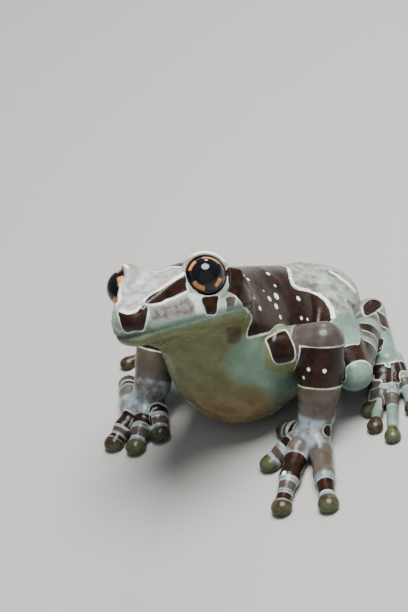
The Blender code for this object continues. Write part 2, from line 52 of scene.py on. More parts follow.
# %% [markdown]
# ## The frog's measures
# Lengths are in millimetres: +X is the frog's left, -Y the way it faces and +Z up. A length written as a
# share of the distance from snout to vent keeps the frog in proportion when that one number changes. The
# head is posed by a place and three turns, and the limbs by their joints.

# %% Measures and pose
MM = 0.001
SNOUT_TO_VENT = 62.0
HEAD_WIDTH = 0.387 * SNOUT_TO_VENT
EYE_RADIUS = 0.0575 * SNOUT_TO_VENT
EYE_SPREAD = 0.145 * SNOUT_TO_VENT
FINGER_RADIUS = 0.0265 * SNOUT_TO_VENT
DISC_RADIUS = 0.0325 * SNOUT_TO_VENT
TOE_RADIUS = 0.0185 * SNOUT_TO_VENT
TOE_DISC_RADIUS = 0.026 * SNOUT_TO_VENT
UPPER_ARM = (4.5, 4.3, 3.9)
FOREARM = (3.8, 4.4, 4.0, 3.4)
THIGH = (5.8, 5.1, 3.5)
SHANK = (3.3, 3.2, 2.7)
FOOT = (2.7, 2.1)
WEB_THICKNESS = 0.9
CELL = 0.36
FAR = 6.0
SOCKET_GAP = -0.12
LID_THICKNESS = 1.05
NOSTRIL_RADIUS = 0.5
MOUTH_RADIUS = 0.26
GRID_BOX = ((-42.0, -33.0, -1.5), (42.0, 33.0, 46.5))
LEFT, RIGHT = 1, -1
SIDES = {"left": LEFT, "right": RIGHT}
TO_ORIGIN = np.array([0.0, 0.84, 0.0])

HEAD_PLACE = np.array([0.5, -15.5, 38.5])
HEAD_YAW, HEAD_PITCH, HEAD_ROLL = 9.0, 23.0, 12.5

ARMS = {
    LEFT: {
        "shoulder": (9.5, -5.2, 16.2),
        "elbow": (20.3, -0.6, 18.2),
        "wrist": (19.8, -6.8, 6.4),
        "palm": (20.2, -10.2, 3.3),
        "knuckles": ((17.2, -9.6), (17.6, -12.4), (19.4, -14.4), (23.2, -12.2)),
        "tips": ((12.6, -8.8), (15.2, -17.6), (24.4, -26.8), (32.2, -22.9)),
    },
    RIGHT: {
        "shoulder": (-8.8, -5.2, 16.4),
        "elbow": (-18.4, -1.6, 17.6),
        "wrist": (-17.4, -11.4, 6.4),
        "palm": (-18.6, -14.2, 3.1),
        "knuckles": ((-15.8, -13.8), (-16.4, -16.4), (-19.2, -17.2), (-21.8, -14.8)),
        "tips": ((-11.6, -18.4), (-14.0, -23.2), (-19.0, -23.8), (-28.0, -8.6)),
    },
}
TOE_TIPS = ((22.4, 7.4), (24.4, 2.2), (28.0, -1.4), (32.8, -2.6), (32.0, 5.4))
LEGS = {
    side: {
        "hip": (side * 6.5, 15.0, 10.5),
        "knee": (side * 22.4, 2.8, 8.8),
        "heel": (side * 10.5, 24.3, 4.3),
        "instep": (side * 20.5, 14.5, 2.2),
        "tips": tuple((side * x, y) for x, y in TOE_TIPS),
    }
    for side in (LEFT, RIGHT)
}
print("snout to vent", SNOUT_TO_VENT, "mm, head", round(HEAD_WIDTH, 1), "mm wide")
print("eyes", round(2 * EYE_RADIUS, 1), "mm across")

# %% Sections and directions of the head
FORWARD = (-12.0, -7.0, -3.0, 1.0, 5.0, 9.0, 12.0, 14.0, 15.4)
HALF_WIDTH = tuple(HEAD_WIDTH * k for k in (0.375, 0.5, 0.496, 0.463, 0.392, 0.298, 0.21, 0.14, 0.05))
CROWN = (-0.8, 0.8, 1.1, 1.1, 0.9, 0.1, -0.8, -1.8, -3.6)
LIP = (-8.2, -7.8, -7.4, -7.0, -6.7, -6.4, -6.2, -6.1, -6.0)
CHIN = (-14.0, -13.2, -12.3, -11.3, -10.2, -9.1, -8.3, -7.7, -6.8)


def unit(vector):
    vector = np.array(vector, float)
    return vector / np.linalg.norm(vector)


def turn(axis, degrees):
    """A 3 by 3 rotation about a main axis."""
    return np.array(Matrix.Rotation(math.radians(degrees), 3, axis))


def head_axes():
    """Rows: the head's forward, left and up directions in the frog's frame."""
    base = np.array([[0.0, -1.0, 0.0], [1.0, 0.0, 0.0], [0.0, 0.0, 1.0]])
    turned = turn("Z", HEAD_YAW) @ turn("X", -HEAD_PITCH) @ turn("Y", -HEAD_ROLL)
    return base @ turned.T


HEAD_AXES = head_axes()
LID_OPENING = unit((0.62, 0.72, 0.30))
GAZE = unit((0.77, 0.58, 0.26))


def in_head(forward, left, up):
    """A point given along the head's own directions, from the middle between the eyes."""
    return HEAD_PLACE + np.array([forward, left, up]) @ HEAD_AXES


def eye_way(direction, side):
    """A direction of the left eye, or its mirror image for the right one, in the frog's frame."""
    return (direction * (1.0, side, 1.0)) @ HEAD_AXES


SNOUT = in_head(15.0, 0.0, -3.5)
print("the snout tip is at", np.round(SNOUT, 1))

# %% [markdown]
# ## The camera
# The photograph looks down from the frog's front left with a long lens, tipped a little to one side. A
# camera can be dragged into place, or its three directions can be worked out from angles. The angles are
# used here, so that the frog's snout lands on the same pixel whatever else changes.

# %% Camera
AZIMUTH, ELEVATION, ROLL = 48.0, 34.0, 18.0
DISTANCE = 400.0
FOCAL_PIXELS = 2268.0
SENSOR_HEIGHT = 36.0
PICTURE = (408, 612)
SNOUT_PIXEL = (124, 322)


def camera_directions(azimuth, elevation, roll):
    """Right, up and back of a camera that looks at the frog, all in the frog's frame."""
    a, e, r = (math.radians(angle) for angle in (azimuth, elevation, roll))
    back = np.array([math.sin(a) * math.cos(e), -math.cos(a) * math.cos(e), math.sin(e)])
    level = np.array([math.cos(a), math.sin(a), 0.0])
    upright = np.cross(back, level)
    right = level * math.cos(r) - upright * math.sin(r)
    return right, np.cross(back, right), back


def put_in_scene(name, data):
    """A new object that shows some data."""
    made = bpy.data.objects.new(name, data)
    bpy.context.scene.collection.objects.link(made)
    return made


right, up, back = camera_directions(AZIMUTH, ELEVATION, ROLL)
aside = (SNOUT_PIXEL[0] - PICTURE[0] / 2) * DISTANCE / FOCAL_PIXELS
above = (PICTURE[1] / 2 - SNOUT_PIXEL[1]) * DISTANCE / FOCAL_PIXELS
place = (SNOUT + TO_ORIGIN + back * DISTANCE - right * aside - up * above) * MM
lens = bpy.data.cameras.new("camera")
lens.sensor_fit = "VERTICAL"
lens.sensor_height = SENSOR_HEIGHT
lens.lens = FOCAL_PIXELS * SENSOR_HEIGHT / PICTURE[1]
lens.clip_start = 0.01
camera = put_in_scene("camera", lens)
rows = [[right[i], up[i], back[i], place[i]] for i in range(3)]
camera.matrix_world = Matrix([*rows, [0.0, 0.0, 0.0, 1.0]])
bpy.context.scene.camera = camera
print("camera at", np.round(place, 3), "m, lens", round(lens.lens, 1), "mm")

# %% [markdown]
# ## Floor and studio light
# A plain pale floor lets every foot show. One broad lamp almost straight above gives the long highlights
# of wet skin, a wide faint one fills the shaded front, a small one behind glints on the edges, and a pale
# sky keeps the shadows soft. Most of the settings below fill a node's inputs, so one helper does that.

# %% Floor, lamps and sky
LAMP_AIM = Vector((0.0, 0.0, 0.015))


def feed(node, sources):
    """Fills a node's named inputs with sockets or with plain values."""
    for name, source in sources.items():
        if isinstance(source, bpy.types.NodeSocket):
            node.id_data.links.new(source, node.inputs[name])
        else:
            node.inputs[name].default_value = source
    return node


def new_material(name):
    """A material with nodes, and its Principled shader."""
    made = bpy.data.materials.new(name)
    made.use_nodes = True
    return made, made.node_tree.nodes["Principled BSDF"]


def lamp(name, toward, distance, size, watts, colour):
    """A round lamp that shines on the frog from a direction."""
    light = bpy.data.lights.new(name, "AREA")
    light.shape = "DISK"
    light.size = size
    light.energy = watts
    light.color = colour
    made = put_in_scene(name, light)
    made.location = Vector(unit(toward) * distance) + LAMP_AIM
    made.rotation_euler = Vector(unit(toward)).to_track_quat("Z", "Y").to_euler()


cage = bmesh.new()
bmesh.ops.create_grid(cage, x_segments=1, y_segments=1, size=3.0)
floor = put_in_scene("floor", bpy.data.meshes.new("floor"))
cage.to_mesh(floor.data)
cage.free()
pale, shader = new_material("pale_floor")
feed(shader, {"Base Color": (0.42, 0.415, 0.40, 1.0), "Roughness": 0.8})
floor.data.materials.append(pale)

lamp("key", (0.15, 0.15, 1.0), 0.45, 0.30, 5.0, (1.0, 0.99, 0.97))
lamp("fill", (0.9, -0.9, 0.55), 0.60, 1.10, 0.8, (0.95, 0.98, 1.0))
lamp("rim", (-0.4, 0.9, 0.8), 0.50, 0.09, 0.5, (1.0, 1.0, 1.0))
sky = bpy.data.worlds.new("sky")
sky.use_nodes = True
feed(sky.node_tree.nodes["Background"], {"Color": (0.85, 0.9, 0.95, 1.0), "Strength": 0.28})
bpy.context.scene.world = sky
print("3 lamps and a pale sky")

# %% [markdown]
# ## Rounded shapes as distances
# A shape can be given by a rule that tells how far any point is from its surface: below zero inside, above
# zero outside. Two such rules are joined by taking the smaller number, and if the corner between them is
# rounded over, the shapes melt together like muscle under skin. That is why distances are used here.

# %% Melting, smooth curves and basic shapes
def melt(a, b, width):
    """The smaller of two distances, rounded where they meet within this width."""
    h = np.maximum(width - np.abs(a - b), 0.0) / width
    return np.minimum(a, b) - h * h * width * 0.25


def curve(x, stations, values):
    """A smooth curve through values at stations."""
    stations = np.array(stations, float)
    values = np.array(values, float)
    slopes = np.gradient(values, stations)
    i = np.clip(np.searchsorted(stations, x) - 1, 0, len(stations) - 2)
    h = stations[i + 1] - stations[i]
    t = np.clip((x - stations[i]) / h, 0.0, 1.0)
    start = (1 + 2 * t) * (1 - t) ** 2 * values[i] + t * (1 - t) ** 2 * h * slopes[i]
    return start + t * t * (3 - 2 * t) * values[i + 1] + t * t * (t - 1) * h * slopes[i + 1]


class Shape:
    """A rounded shape: a function for the distance to it, and the box that holds it."""

    def __init__(self, distance, low, high):
        self.distance = distance
        self.low = np.array(low, float)
        self.high = np.array(high, float)


def blob(centre, radii, axes=None):
    """An ellipsoid, turned by rows of axes if given."""
    centre = np.array(centre, float)
    radii = np.array(radii, float)
    axes = np.eye(3) if axes is None else np.array(axes, float)

    def distance(p):
        q = (p - centre) @ axes.T
        near = np.linalg.norm(q / radii, axis=-1)
        steep = np.linalg.norm(q / radii**2, axis=-1)
        return near * (near - 1.0) / np.maximum(steep, 1e-6)

    return Shape(distance, centre - radii.max(), centre + radii.max())


def tube(points, radii):
    """Round cones end to end."""
    points = np.array(points, float)
    radii = np.array(radii, float)

    def distance(p):
        nearest = None
        for a, b, r, s in zip(points, points[1:], radii, radii[1:]):
            along = b - a
            t = np.clip(((p - a) @ along) / (along @ along), 0.0, 1.0)
            d = np.linalg.norm(p - a - t[..., None] * along, axis=-1) - (r + (s - r) * t)
            nearest = d if nearest is None else np.minimum(nearest, d)
        return nearest

    return Shape(distance, points.min(0) - radii.max(), points.max(0) + radii.max())


print("shapes: ellipsoid and jointed tube")

# %% Webs and clusters
def flat_distance(p, corners):
    """Distance from a flat outline of corners, below zero inside it."""
    flat = np.full(p.shape[:-1], 1e9)
    inside = np.zeros(p.shape[:-1], bool)
    for a, b in zip(corners, np.roll(corners, -1, axis=0)):
        edge = b - a
        q = p - a
        t = np.clip((q @ edge) / (edge @ edge), 0.0, 1.0)
        flat = np.minimum(flat, np.linalg.norm(q - t[..., None] * edge, axis=-1))
        crosses = (a[1] > p[..., 1]) != (b[1] > p[..., 1])
        reach = a[0] + (p[..., 1] - a[1]) * edge[0] / (edge[1] if abs(edge[1]) > 1e-9 else 1e-9)
        inside ^= crosses & (p[..., 0] < reach)
    return np.where(inside, -flat, flat)


def web(corners, thickness):
    """A thin membrane on the floor, spanning corners given in order round its outline."""
    corners = np.array(corners, float)

    def distance(p):
        flat = flat_distance(p[..., :2], corners)
        upright = np.abs(p[..., 2] - 0.1) - thickness
        outside = np.hypot(np.maximum(flat, 0.0), np.maximum(upright, 0.0))
        return outside + np.minimum(np.maximum(flat, upright), 0.0)

    low = (*corners.min(0), 0.1 - thickness)
    high = (*corners.max(0), 0.1 + thickness)
    return Shape(distance, low, high)


def cluster(parts):
    """Shapes melted together in turn, each over its own width."""

    def distance(p):
        total = None
        for shape, width in parts:
            d = shape.distance(p)
            total = d if total is None else melt(total, d, width)
        return total

    low = np.min([shape.low for shape, _ in parts], axis=0)
    high = np.max([shape.high for shape, _ in parts], axis=0)
    return Shape(distance, low, high)


print("shapes: web and cluster")

# %% [markdown]
# ## The grid that holds the flesh
# The distances are written on a fine grid of points. A volume library then wraps quads round the zero
# level, which gives even, closed, smooth topology that no join of separate meshes would have.

# %% Flesh grid
class Flesh:
    """Distances to the skin on a grid of points: below zero inside."""

    def __init__(self, low, high, cell):
        self.cell = cell
        self.low = np.array(low, float)
        size = np.ceil((np.array(high, float) - self.low) / cell).astype(int) + 1
        self.values = np.full(size, FAR, np.float32)

    def window(self, shape, margin):
        start = np.maximum(np.floor((shape.low - margin - self.low) / self.cell).astype(int), 0)
        end = np.ceil((shape.high + margin - self.low) / self.cell).astype(int) + 1
        end = np.minimum(end, self.values.shape)
        lines = [self.low[i] + self.cell * np.arange(start[i], end[i]) for i in range(3)]
        points = np.stack(np.meshgrid(*lines, indexing="ij"), axis=-1)
        return tuple(slice(i, j) for i, j in zip(start, end)), points

    def add(self, shape, width, root=None, reach=1.0, root_width=0.0):
        """Melts a shape in. Round a root point the width grows, as a limb melts into the trunk."""
        where, points = self.window(shape, max(width, root_width) + 2.0)
        if root is not None:
            away = ((points - np.array(root, float)) ** 2).sum(axis=-1)
            width = width + (root_width - width) * np.exp(-away / reach**2)
        self.values[where] = melt(self.values[where], shape.distance(points), width)

    def carve(self, shape, width):
        where, points = self.window(shape, width + 2.0)
        self.values[where] = -melt(-self.values[where], shape.distance(points), width)

    def at(self, point):
        """The distance at any point, between the grid's own."""
        place = (np.array(point, float) - self.low) / self.cell
        i, j, k = np.floor(place).astype(int)
        f = place - (i, j, k)
        block = self.values[i : i + 2, j : j + 2, k : k + 2].astype(float)
        block = block[0] * (1 - f[0]) + block[1] * f[0]
        block = block[0] * (1 - f[1]) + block[1] * f[1]
        return block[0] * (1 - f[2]) + block[1] * f[2]

    def surface_along(self, start, direction, reach):
        """Where a ray from inside leaves the flesh."""
        start = np.array(start, float)
        direction = unit(direction)
        before = self.at(start)
        for step in np.arange(0.1, reach, 0.1):
            after = self.at(start + direction * step)
            if before <= 0.0 < after:
                return start + direction * (step - 0.1 * after / (after - before))
            before = after
        return start + direction * reach

    def skin(self):
        """Points and quads of the closed skin."""
        grid = openvdb.FloatGrid(FAR)
        grid.copyFromArray(self.values)
        points, quads = grid.convertToQuads(isovalue=0.0)
        return points * self.cell + self.low, quads


print("grid cell", CELL, "mm")

# %% [markdown]
# ## Head
# The skull is broad and flat: rounded sections are strung along it from nape to snout, one half above the
# line of the mouth and one below. The eyelids, the ridge from eye to nostril, the fold behind the ear and
# the drum of the ear are melted on.

# %% Skull, jaw and lids
def head_half(rise, share, power, end):
    """The skull above the lip, or the jaw below it, as rounded sections along the head."""
    upward = 1.0 if rise is CROWN else -1.0
    width = tuple(share * half for half in HALF_WIDTH)

    def distance(p):
        s, u, v = np.moveaxis((p - HEAD_PLACE) @ HEAD_AXES.T, -1, 0)
        along = np.clip(s, FORWARD[0], end)
        level = curve(along, FORWARD, LIP)
        tall = np.maximum(np.abs(curve(along, FORWARD, rise) - level), 0.3)
        wide = curve(along, FORWARD, width)
        above = v - level
        half = np.where(above * upward > 0.0, tall, 1.2)
        k = ((np.abs(u) / wide) ** power + (np.abs(above) / half) ** power) ** (1.0 / power)
        spoke = np.hypot(u, above)
        radial = np.where(k > 1e-3, spoke * (1.0 - 1.0 / np.maximum(k, 1e-3)), -np.minimum(wide, half))
        beyond = np.maximum(s - end, FORWARD[0] - s)
        outside = np.hypot(np.maximum(radial, 0.0), np.maximum(beyond, 0.0))
        return np.where(beyond > 0.0, outside, np.maximum(radial, beyond))

    corners = [in_head(s, u, v) for s in (FORWARD[0], end) for u in (-12.5, 12.5) for v in (-15.0, 3.0)]
    return Shape(distance, np.min(corners, axis=0), np.max(corners, axis=0))


def eye_centre(side):
    return in_head(0.0, side * EYE_SPREAD, 0.0)


def open_lids(flesh, gap):
    """Carves the sockets, and clears the view of each eye along its gaze."""
    for side in SIDES.values():
        flesh.carve(blob(eye_centre(side), [EYE_RADIUS + gap] * 3), 0.05)
        flesh.carve(blob(eye_centre(side) + 1.1 * eye_way(GAZE, side), [EYE_RADIUS + 0.1] * 3), 0.3)


def eyelid(side):
    """A ball a little larger than the eye, open in front."""
    centre = eye_centre(side)
    axis = eye_way(LID_OPENING, side)

    def distance(p):
        ball = np.linalg.norm(p - centre, axis=-1) - (EYE_RADIUS + LID_THICKNESS)
        front = (p - centre) @ axis - 0.9
        return -melt(-ball, -front, 0.6)

    return Shape(distance, centre - 5.0, centre + 5.0)


def head_blob(centre, radii):
    return blob(in_head(*centre), radii, HEAD_AXES)


def add_head(flesh):
    flesh.add(head_half(CROWN, 1.0, 2.3, 13.0), 0.3)
    flesh.add(head_blob((10.6, 0.0, -3.9), (4.6, 4.7, 2.9)), 1.2)
    flesh.add(head_half(CHIN, 0.96, 2.2, 12.6), 0.4)
    flesh.add(head_blob((10.0, 0.0, -7.3), (4.2, 4.2, 1.5)), 1.2)
    for side in SIDES.values():
        ridge = tube([in_head(3.5, side * 6.2, 0.7), in_head(11.8, side * 2.8, -1.9)], [1.3, 1.0])
        flesh.add(ridge, 1.2)
        flesh.add(head_blob((-0.6, side * 7.2, -0.8), (5.0, 4.0, 3.6)), 1.5)
        flesh.add(eyelid(side), 0.6)
        flesh.add(head_blob((-6.5, side * 8.6, -5.0), (4.5, 3.2, 3.6)), 2.0)
        fold = (-3.4, side * 9.0, 0.6), (-7.4, side * 10.9, -1.6), (-9.6, side * 10.4, -5.5)
        flesh.add(tube([in_head(*point) for point in fold], [0.7, 0.9, 1.0]), 1.0)
        flesh.add(head_blob((-6.2, side * 11.3, -4.6), (1.7, 0.8, 1.7)), 0.4)


print("head", round(2 * max(HALF_WIDTH), 1), "mm wide")

# %% [markdown]
# ## Trunk and limbs
# The trunk is a few large ellipsoids, so that the belly sags to the floor and the back arches. Each limb is
# a row of round cones. Every finger has a swollen joint and a flat disc at its tip, which a tree frog
# climbs with, and the toes share a thin web.

# %% Trunk
def add_trunk(flesh):
    flesh.add(blob((0.0, 17.5, 7.5), (10.4, 10.2, 8.5)), 1.0)
    flesh.add(blob((0.0, 24.0, 6.0), (5.0, 5.0, 4.5)), 4.0)
    flesh.add(blob((0.0, 1.5, 10.8), (13.6, 14.6, 11.6)), 5.0)
    flesh.add(blob((0.5, -6.5, 13.5), (12.0, 10.5, 12.5)), 5.0)
    flesh.add(blob((0.5, -6.5, 22.0), (10.6, 9.0, 8.0)), 4.0)
    flesh.add(tube([in_head(-6.0, 0.0, -7.0), (0.5, -7.0, 19.0)], [8.4, 10.0]), 4.0)
    flesh.add(tube([(0.5, -5.5, 24.0), (0.3, 3.0, 18.4), (0.0, 12.0, 12.9)], [7.9, 8.3, 7.4]), 4.0)
    for side in SIDES.values():
        flesh.add(blob((side * 5.5, 18.0, 9.6), (4.5, 6.4, 4.6)), 4.0)


print("trunk ready")

# %% Fingers and toes
def finger_bones(side):
    """Knuckle, middle joint and tip of each finger, from the inner one out."""
    for (x, y), (tip_x, tip_y) in zip(ARMS[side]["knuckles"], ARMS[side]["tips"]):
        yield (x, y, 2.1), ((x + tip_x) / 2, (y + tip_y) / 2, 1.9), (tip_x, tip_y, 1.15)


def toe_bones(side):
    """Base, middle joint and tip of each toe, from the inner one out."""
    for number, (x, y) in enumerate(LEGS[side]["tips"], -2):
        base = np.array(LEGS[side]["instep"]) + (side * 0.5 * number, 0.8 * number, -0.4)
        yield base, (np.array([x, y, 1.6]) + base) / 2, (x, y, 0.95)


def digit(bones, radius, disc, root):
    """One finger or toe: two bones, a swollen joint and a disc flattened on the floor."""
    knuckle, joint, tip = (np.array(point, float) for point in bones)
    ahead = unit((tip - joint) * (1.0, 1.0, 0.0))
    axes = np.array([ahead, (-ahead[1], ahead[0], 0.0), (0.0, 0.0, 1.0)])
    return [
        (tube([knuckle, joint, tip], [radius * root, radius * 1.08, radius * 0.82]), 0.6),
        (blob(tip + ahead * 0.3, (disc * 1.02, disc, disc * 0.74), axes), 0.7),
        (blob(joint, (radius * 1.25, radius * 1.2, radius * 1.15), axes), 0.8),
    ]


print("4 fingers a hand, 5 toes a foot")

# %% Arms and legs
def arm(side):
    """The upper arm, then the rest of the arm with its fingers, and the point where it grows from."""
    shoulder, elbow, wrist, palm = (np.array(ARMS[side][k]) for k in ("shoulder", "elbow", "wrist", "palm"))
    upper = tube([shoulder, (shoulder + elbow) / 2, elbow], UPPER_ARM)
    along = wrist - elbow
    fore = tube([elbow, elbow + along * 0.35, elbow + along * 0.75, wrist], FOREARM)
    parts = [(fore, 1.5), (tube([wrist, palm], [3.3, 2.8]), 1.2)]
    parts.append((blob(palm + (0.0, -0.6, -0.3), (3.9, 3.4, 2.5)), 1.5))
    for bones in finger_bones(side):
        parts += digit(bones, FINGER_RADIUS, DISC_RADIUS, 1.4)
    return upper, cluster(parts), shoulder


def leg(side):
    """The thigh, then the rest of the leg with its webbed toes, and the point where it grows from."""
    hip, knee, heel, instep = (np.array(LEGS[side][k]) for k in ("hip", "knee", "heel", "instep"))
    thigh = tube([hip, hip + (knee - hip) * 0.45, knee], THIGH)
    shank = tube([knee, knee + (heel - knee) * 0.4, heel], SHANK)
    parts = [(shank, 0.8), (tube([heel, instep], FOOT), 0.8)]
    for bones in toe_bones(side):
        parts += digit(bones, TOE_RADIUS, TOE_DISC_RADIUS, 1.1)
    bases = [base[:2] for base, _, _ in toe_bones(side)]
    for i in range(4):
        near, far = (np.array(LEGS[side]["tips"][j]) for j in (i, i + 1))
        root = (bases[i] + bases[i + 1]) / 2
        corners = [root, root + (near - root) * 0.68, root + ((near + far) / 2 - root) * 0.52]
        corners.append(root + (far - root) * 0.68)
        parts.append((web(corners, WEB_THICKNESS), 0.5))
    return thigh, cluster(parts), hip


print("arms and legs ready")

# %% [markdown]
# ## Wrap one skin
# All shapes are melted together on the fine grid. The sockets of the eyes, the line of the closed mouth
# and the nostrils are carved out of the flesh itself, so they are real hollows and not paint.

# %% Flesh of the whole frog
def mouth_outline(flesh):
    """Points along the mouth line from one corner round the snout to the other."""
    points = []
    for degrees in range(-112, 113, 4):
        a = math.radians(degrees)
        way = math.cos(a), math.sin(a)
        level = float(curve(-2.0 + 12.0 * max(way[0], -0.4), FORWARD, LIP))
        ahead = np.array([way[0], way[1], 0.0]) @ HEAD_AXES
        points.append(flesh.surface_along(in_head(-3.0, 0.0, level), ahead, 22.0))
    return points


def nostril_place(flesh, side):
    way = np.array([0.62, side * 0.5, 0.42]) @ HEAD_AXES
    return flesh.surface_along(in_head(9.0, 0.0, -3.6), way, 9.0)


flesh = Flesh(*GRID_BOX, CELL)
add_head(flesh)
add_trunk(flesh)
for side in SIDES.values():
    for grow, reach in ((arm, 6.5), (leg, 9.0)):
        upper, lower, root = grow(side)
        flesh.add(upper, 0.3, root, reach, 3.0)
        flesh.add(lower, 0.3)
for pose in ARMS.values():
    back_of_hand = np.array(pose["palm"]) + (0.0, 0.5, 1.7)
    for x, y in pose["knuckles"]:
        flesh.add(tube([back_of_hand, (x, y, 3.3)], [0.9, 1.0]), 0.9)
        flesh.add(blob((x, y, 3.5), (1.5, 1.5, 1.2)), 0.8)
mouth_line = mouth_outline(flesh)
nostrils = [nostril_place(flesh, side) for side in SIDES.values()]
open_lids(flesh, SOCKET_GAP)
for place in nostrils:
    flesh.carve(blob(place, [NOSTRIL_RADIUS] * 3), 0.3)
for a, b in zip(mouth_line, mouth_line[1:]):
    flesh.carve(tube([a, b], [MOUTH_RADIUS] * 2), 0.4)
print("grid of", flesh.values.shape, "points")

# %% Skin mesh
def cut_at_floor(obj):
    """Cuts the skin level with the floor and closes it with flats."""
    cage = bmesh.new()
    cage.from_mesh(obj.data)
    geometry = cage.verts[:] + cage.edges[:] + cage.faces[:]
    down = (0.0, 0.0, -1.0)
    plane = {"plane_co": (0, 0, 0), "plane_no": down}
    bmesh.ops.bisect_plane(cage, geom=geometry, dist=1e-5, clear_outer=True, **plane)
    rims = [edge for edge in cage.edges if edge.is_boundary]
    bmesh.ops.holes_fill(cage, edges=rims, sides=0)
    bmesh.ops.recalc_face_normals(cage, faces=cage.faces)
    cage.to_mesh(obj.data)
    cage.free()


def read_rows(mesh, what):
    """The points or the normals of a mesh, one row each."""
    rows = np.zeros(3 * len(mesh.vertices))
    mesh.vertices.foreach_get(what, rows)
    return rows.reshape(-1, 3)


def write_values(mesh, name, values):
    """Gives each point of a mesh a number that its material can read."""
    mesh.attributes.new(name, "FLOAT", "POINT").data.foreach_set("value", values.astype(np.float32))


points, quads = flesh.skin()
mesh = bpy.data.meshes.new("frog_skin")
mesh.from_pydata(points.tolist(), [], quads.tolist())
frog = put_in_scene("frog_skin", mesh)
cut_at_floor(frog)
mesh.shade_smooth()
points, normals = read_rows(mesh, "co"), read_rows(mesh, "normal")
print(len(mesh.polygons), "faces in one skin")

# %% [markdown]
# ## Markings pinned to the skin
# Milk frogs are brown and pale in large, sharp shapes with a milky line round each. They could be painted
# on a picture, but a picture needs unwrapping and has a fixed fineness. Here each mark is an outline of a
# few points on the skin, in millimetres. Every point of the skin then learns how far it is from the edge of
# each kind of mark, and the material later turns those distances into crisp or ragged edges.

# %% How far a point is from a mark
KINDS = ("brown", "white", "grey", "cloud", "saddle", "mauve", "mint", "pale", "faint", "crease", "disc")
UNMARKED = 6.0
edge = {kind: np.full(len(points), UNMARKED) for kind in KINDS}


def keep(kind, near, distance):
    """Each point of the skin keeps the nearest mark of a kind."""
    edge[kind][near] = np.minimum(edge[kind][near], distance)


def box_round(path, margin=3.0):
    """Which points of the skin are in the box round a path."""
    return ((points > path.min(0) - margin) & (points < path.max(0) + margin)).all(axis=1)


def rounded(outline):
    """More points on a closed outline, on a smooth curve through the given ones."""
    before, after, beyond = np.roll(outline, 1, 0), np.roll(outline, -1, 0), np.roll(outline, -2, 0)
    bend = 2 * before - 5 * outline + 4 * after - beyond
    twist = 3 * outline - before - 3 * after + beyond
    rows = [outline + 0.5 * t * ((after - before) + t * (bend + t * twist)) for t in (0.0, 0.34, 0.67)]
    return np.stack(rows, axis=1).reshape(-1, outline.shape[1])


def from_arms(places):
    """How far places are from the skin of the upper arms."""
    bones = [(pose["shoulder"], pose["elbow"]) for pose in ARMS.values()]
    return np.minimum.reduce([tube(bone, UPPER_ARM[::2]).distance(places) for bone in bones])


def both_halves(half, flip):
    """A closed outline from its left half, which starts and ends in the middle."""
    return [*half, *(np.array(half[-2:0:-1]) * flip)]


def each_side(outline, facing, on_head, mirror):
    """An outline and the way it faces in the frog's frame, then both mirrored if asked."""
    for sign in (1, -1) if mirror else (1,):
        flip = np.array((1, sign, 1) if on_head else (sign, 1, 1))
        rim, out = np.array(outline, float) * flip, unit(np.array(facing) * flip)
        yield (HEAD_PLACE + rim @ HEAD_AXES, out @ HEAD_AXES) if on_head else (rim, out)


print(len(points), "points on the skin")

# %% Patches, lines and spots
def patch(kind, facing, outline, on_head=False, on_limb=False, mirror=True, depth=5.0):
    """A filled outline, seen along the way it faces. Marks of the trunk stop at the arms."""
    for rim, out in each_side(outline, facing, on_head, mirror):
        across = unit(np.cross(out, (0.31, 0.17, 0.93)))
        plane = np.array([across, np.cross(out, across)])
        middle = rim.mean(0)
        flat_rim = rounded((rim - middle) @ plane.T)
        q = points - middle
        flat = q @ plane.T
        reach = np.abs(flat_rim).max(0) + 2.0
        facing_it = normals @ out
        near = (np.abs(q @ out) < depth) & (np.abs(flat) < reach).all(axis=1) & (facing_it > -0.2)
        steep = np.maximum(0.12 - facing_it[near], 0.0) * 6.0
        if not on_limb:
            steep = steep + np.maximum(1.1 - from_arms(points[near]), 0.0) * 2.5
        keep(kind, near, flat_distance(flat[near], flat_rim) + steep)


def line(kind, radius, outline, on_head=False, mirror=True):
    """A stripe of even width along points."""
    for path, _ in each_side(outline, (0, 0, 1), on_head, mirror):
        near = box_round(path)
        keep(kind, near, tube(path, np.full(len(path), radius)).distance(points[near]))


def spots(kind, places, mirror=True):
    """Round spots: each a place and a radius."""
    places = np.array(places)
    for centres, _ in each_side(places[:, :3], (0, 0, 1), False, mirror):
        for centre, radius in zip(centres, places[:, 3]):
            away = np.linalg.norm(points - centre, axis=1)
            near = away < radius + 2.0
            keep(kind, near, away[near] - radius)


print("marks can be patches, lines or spots")

# %% [markdown]
# ## Marks of the head
# The head has a dark stripe from each eye to the nostril, a square patch on the snout and a bar under each
# eye, all edged with white. These outlines are in the head's own directions, forward, left and up from the
# middle between the eyes, so they stay put if the head is turned, and one side is mirrored to the other.

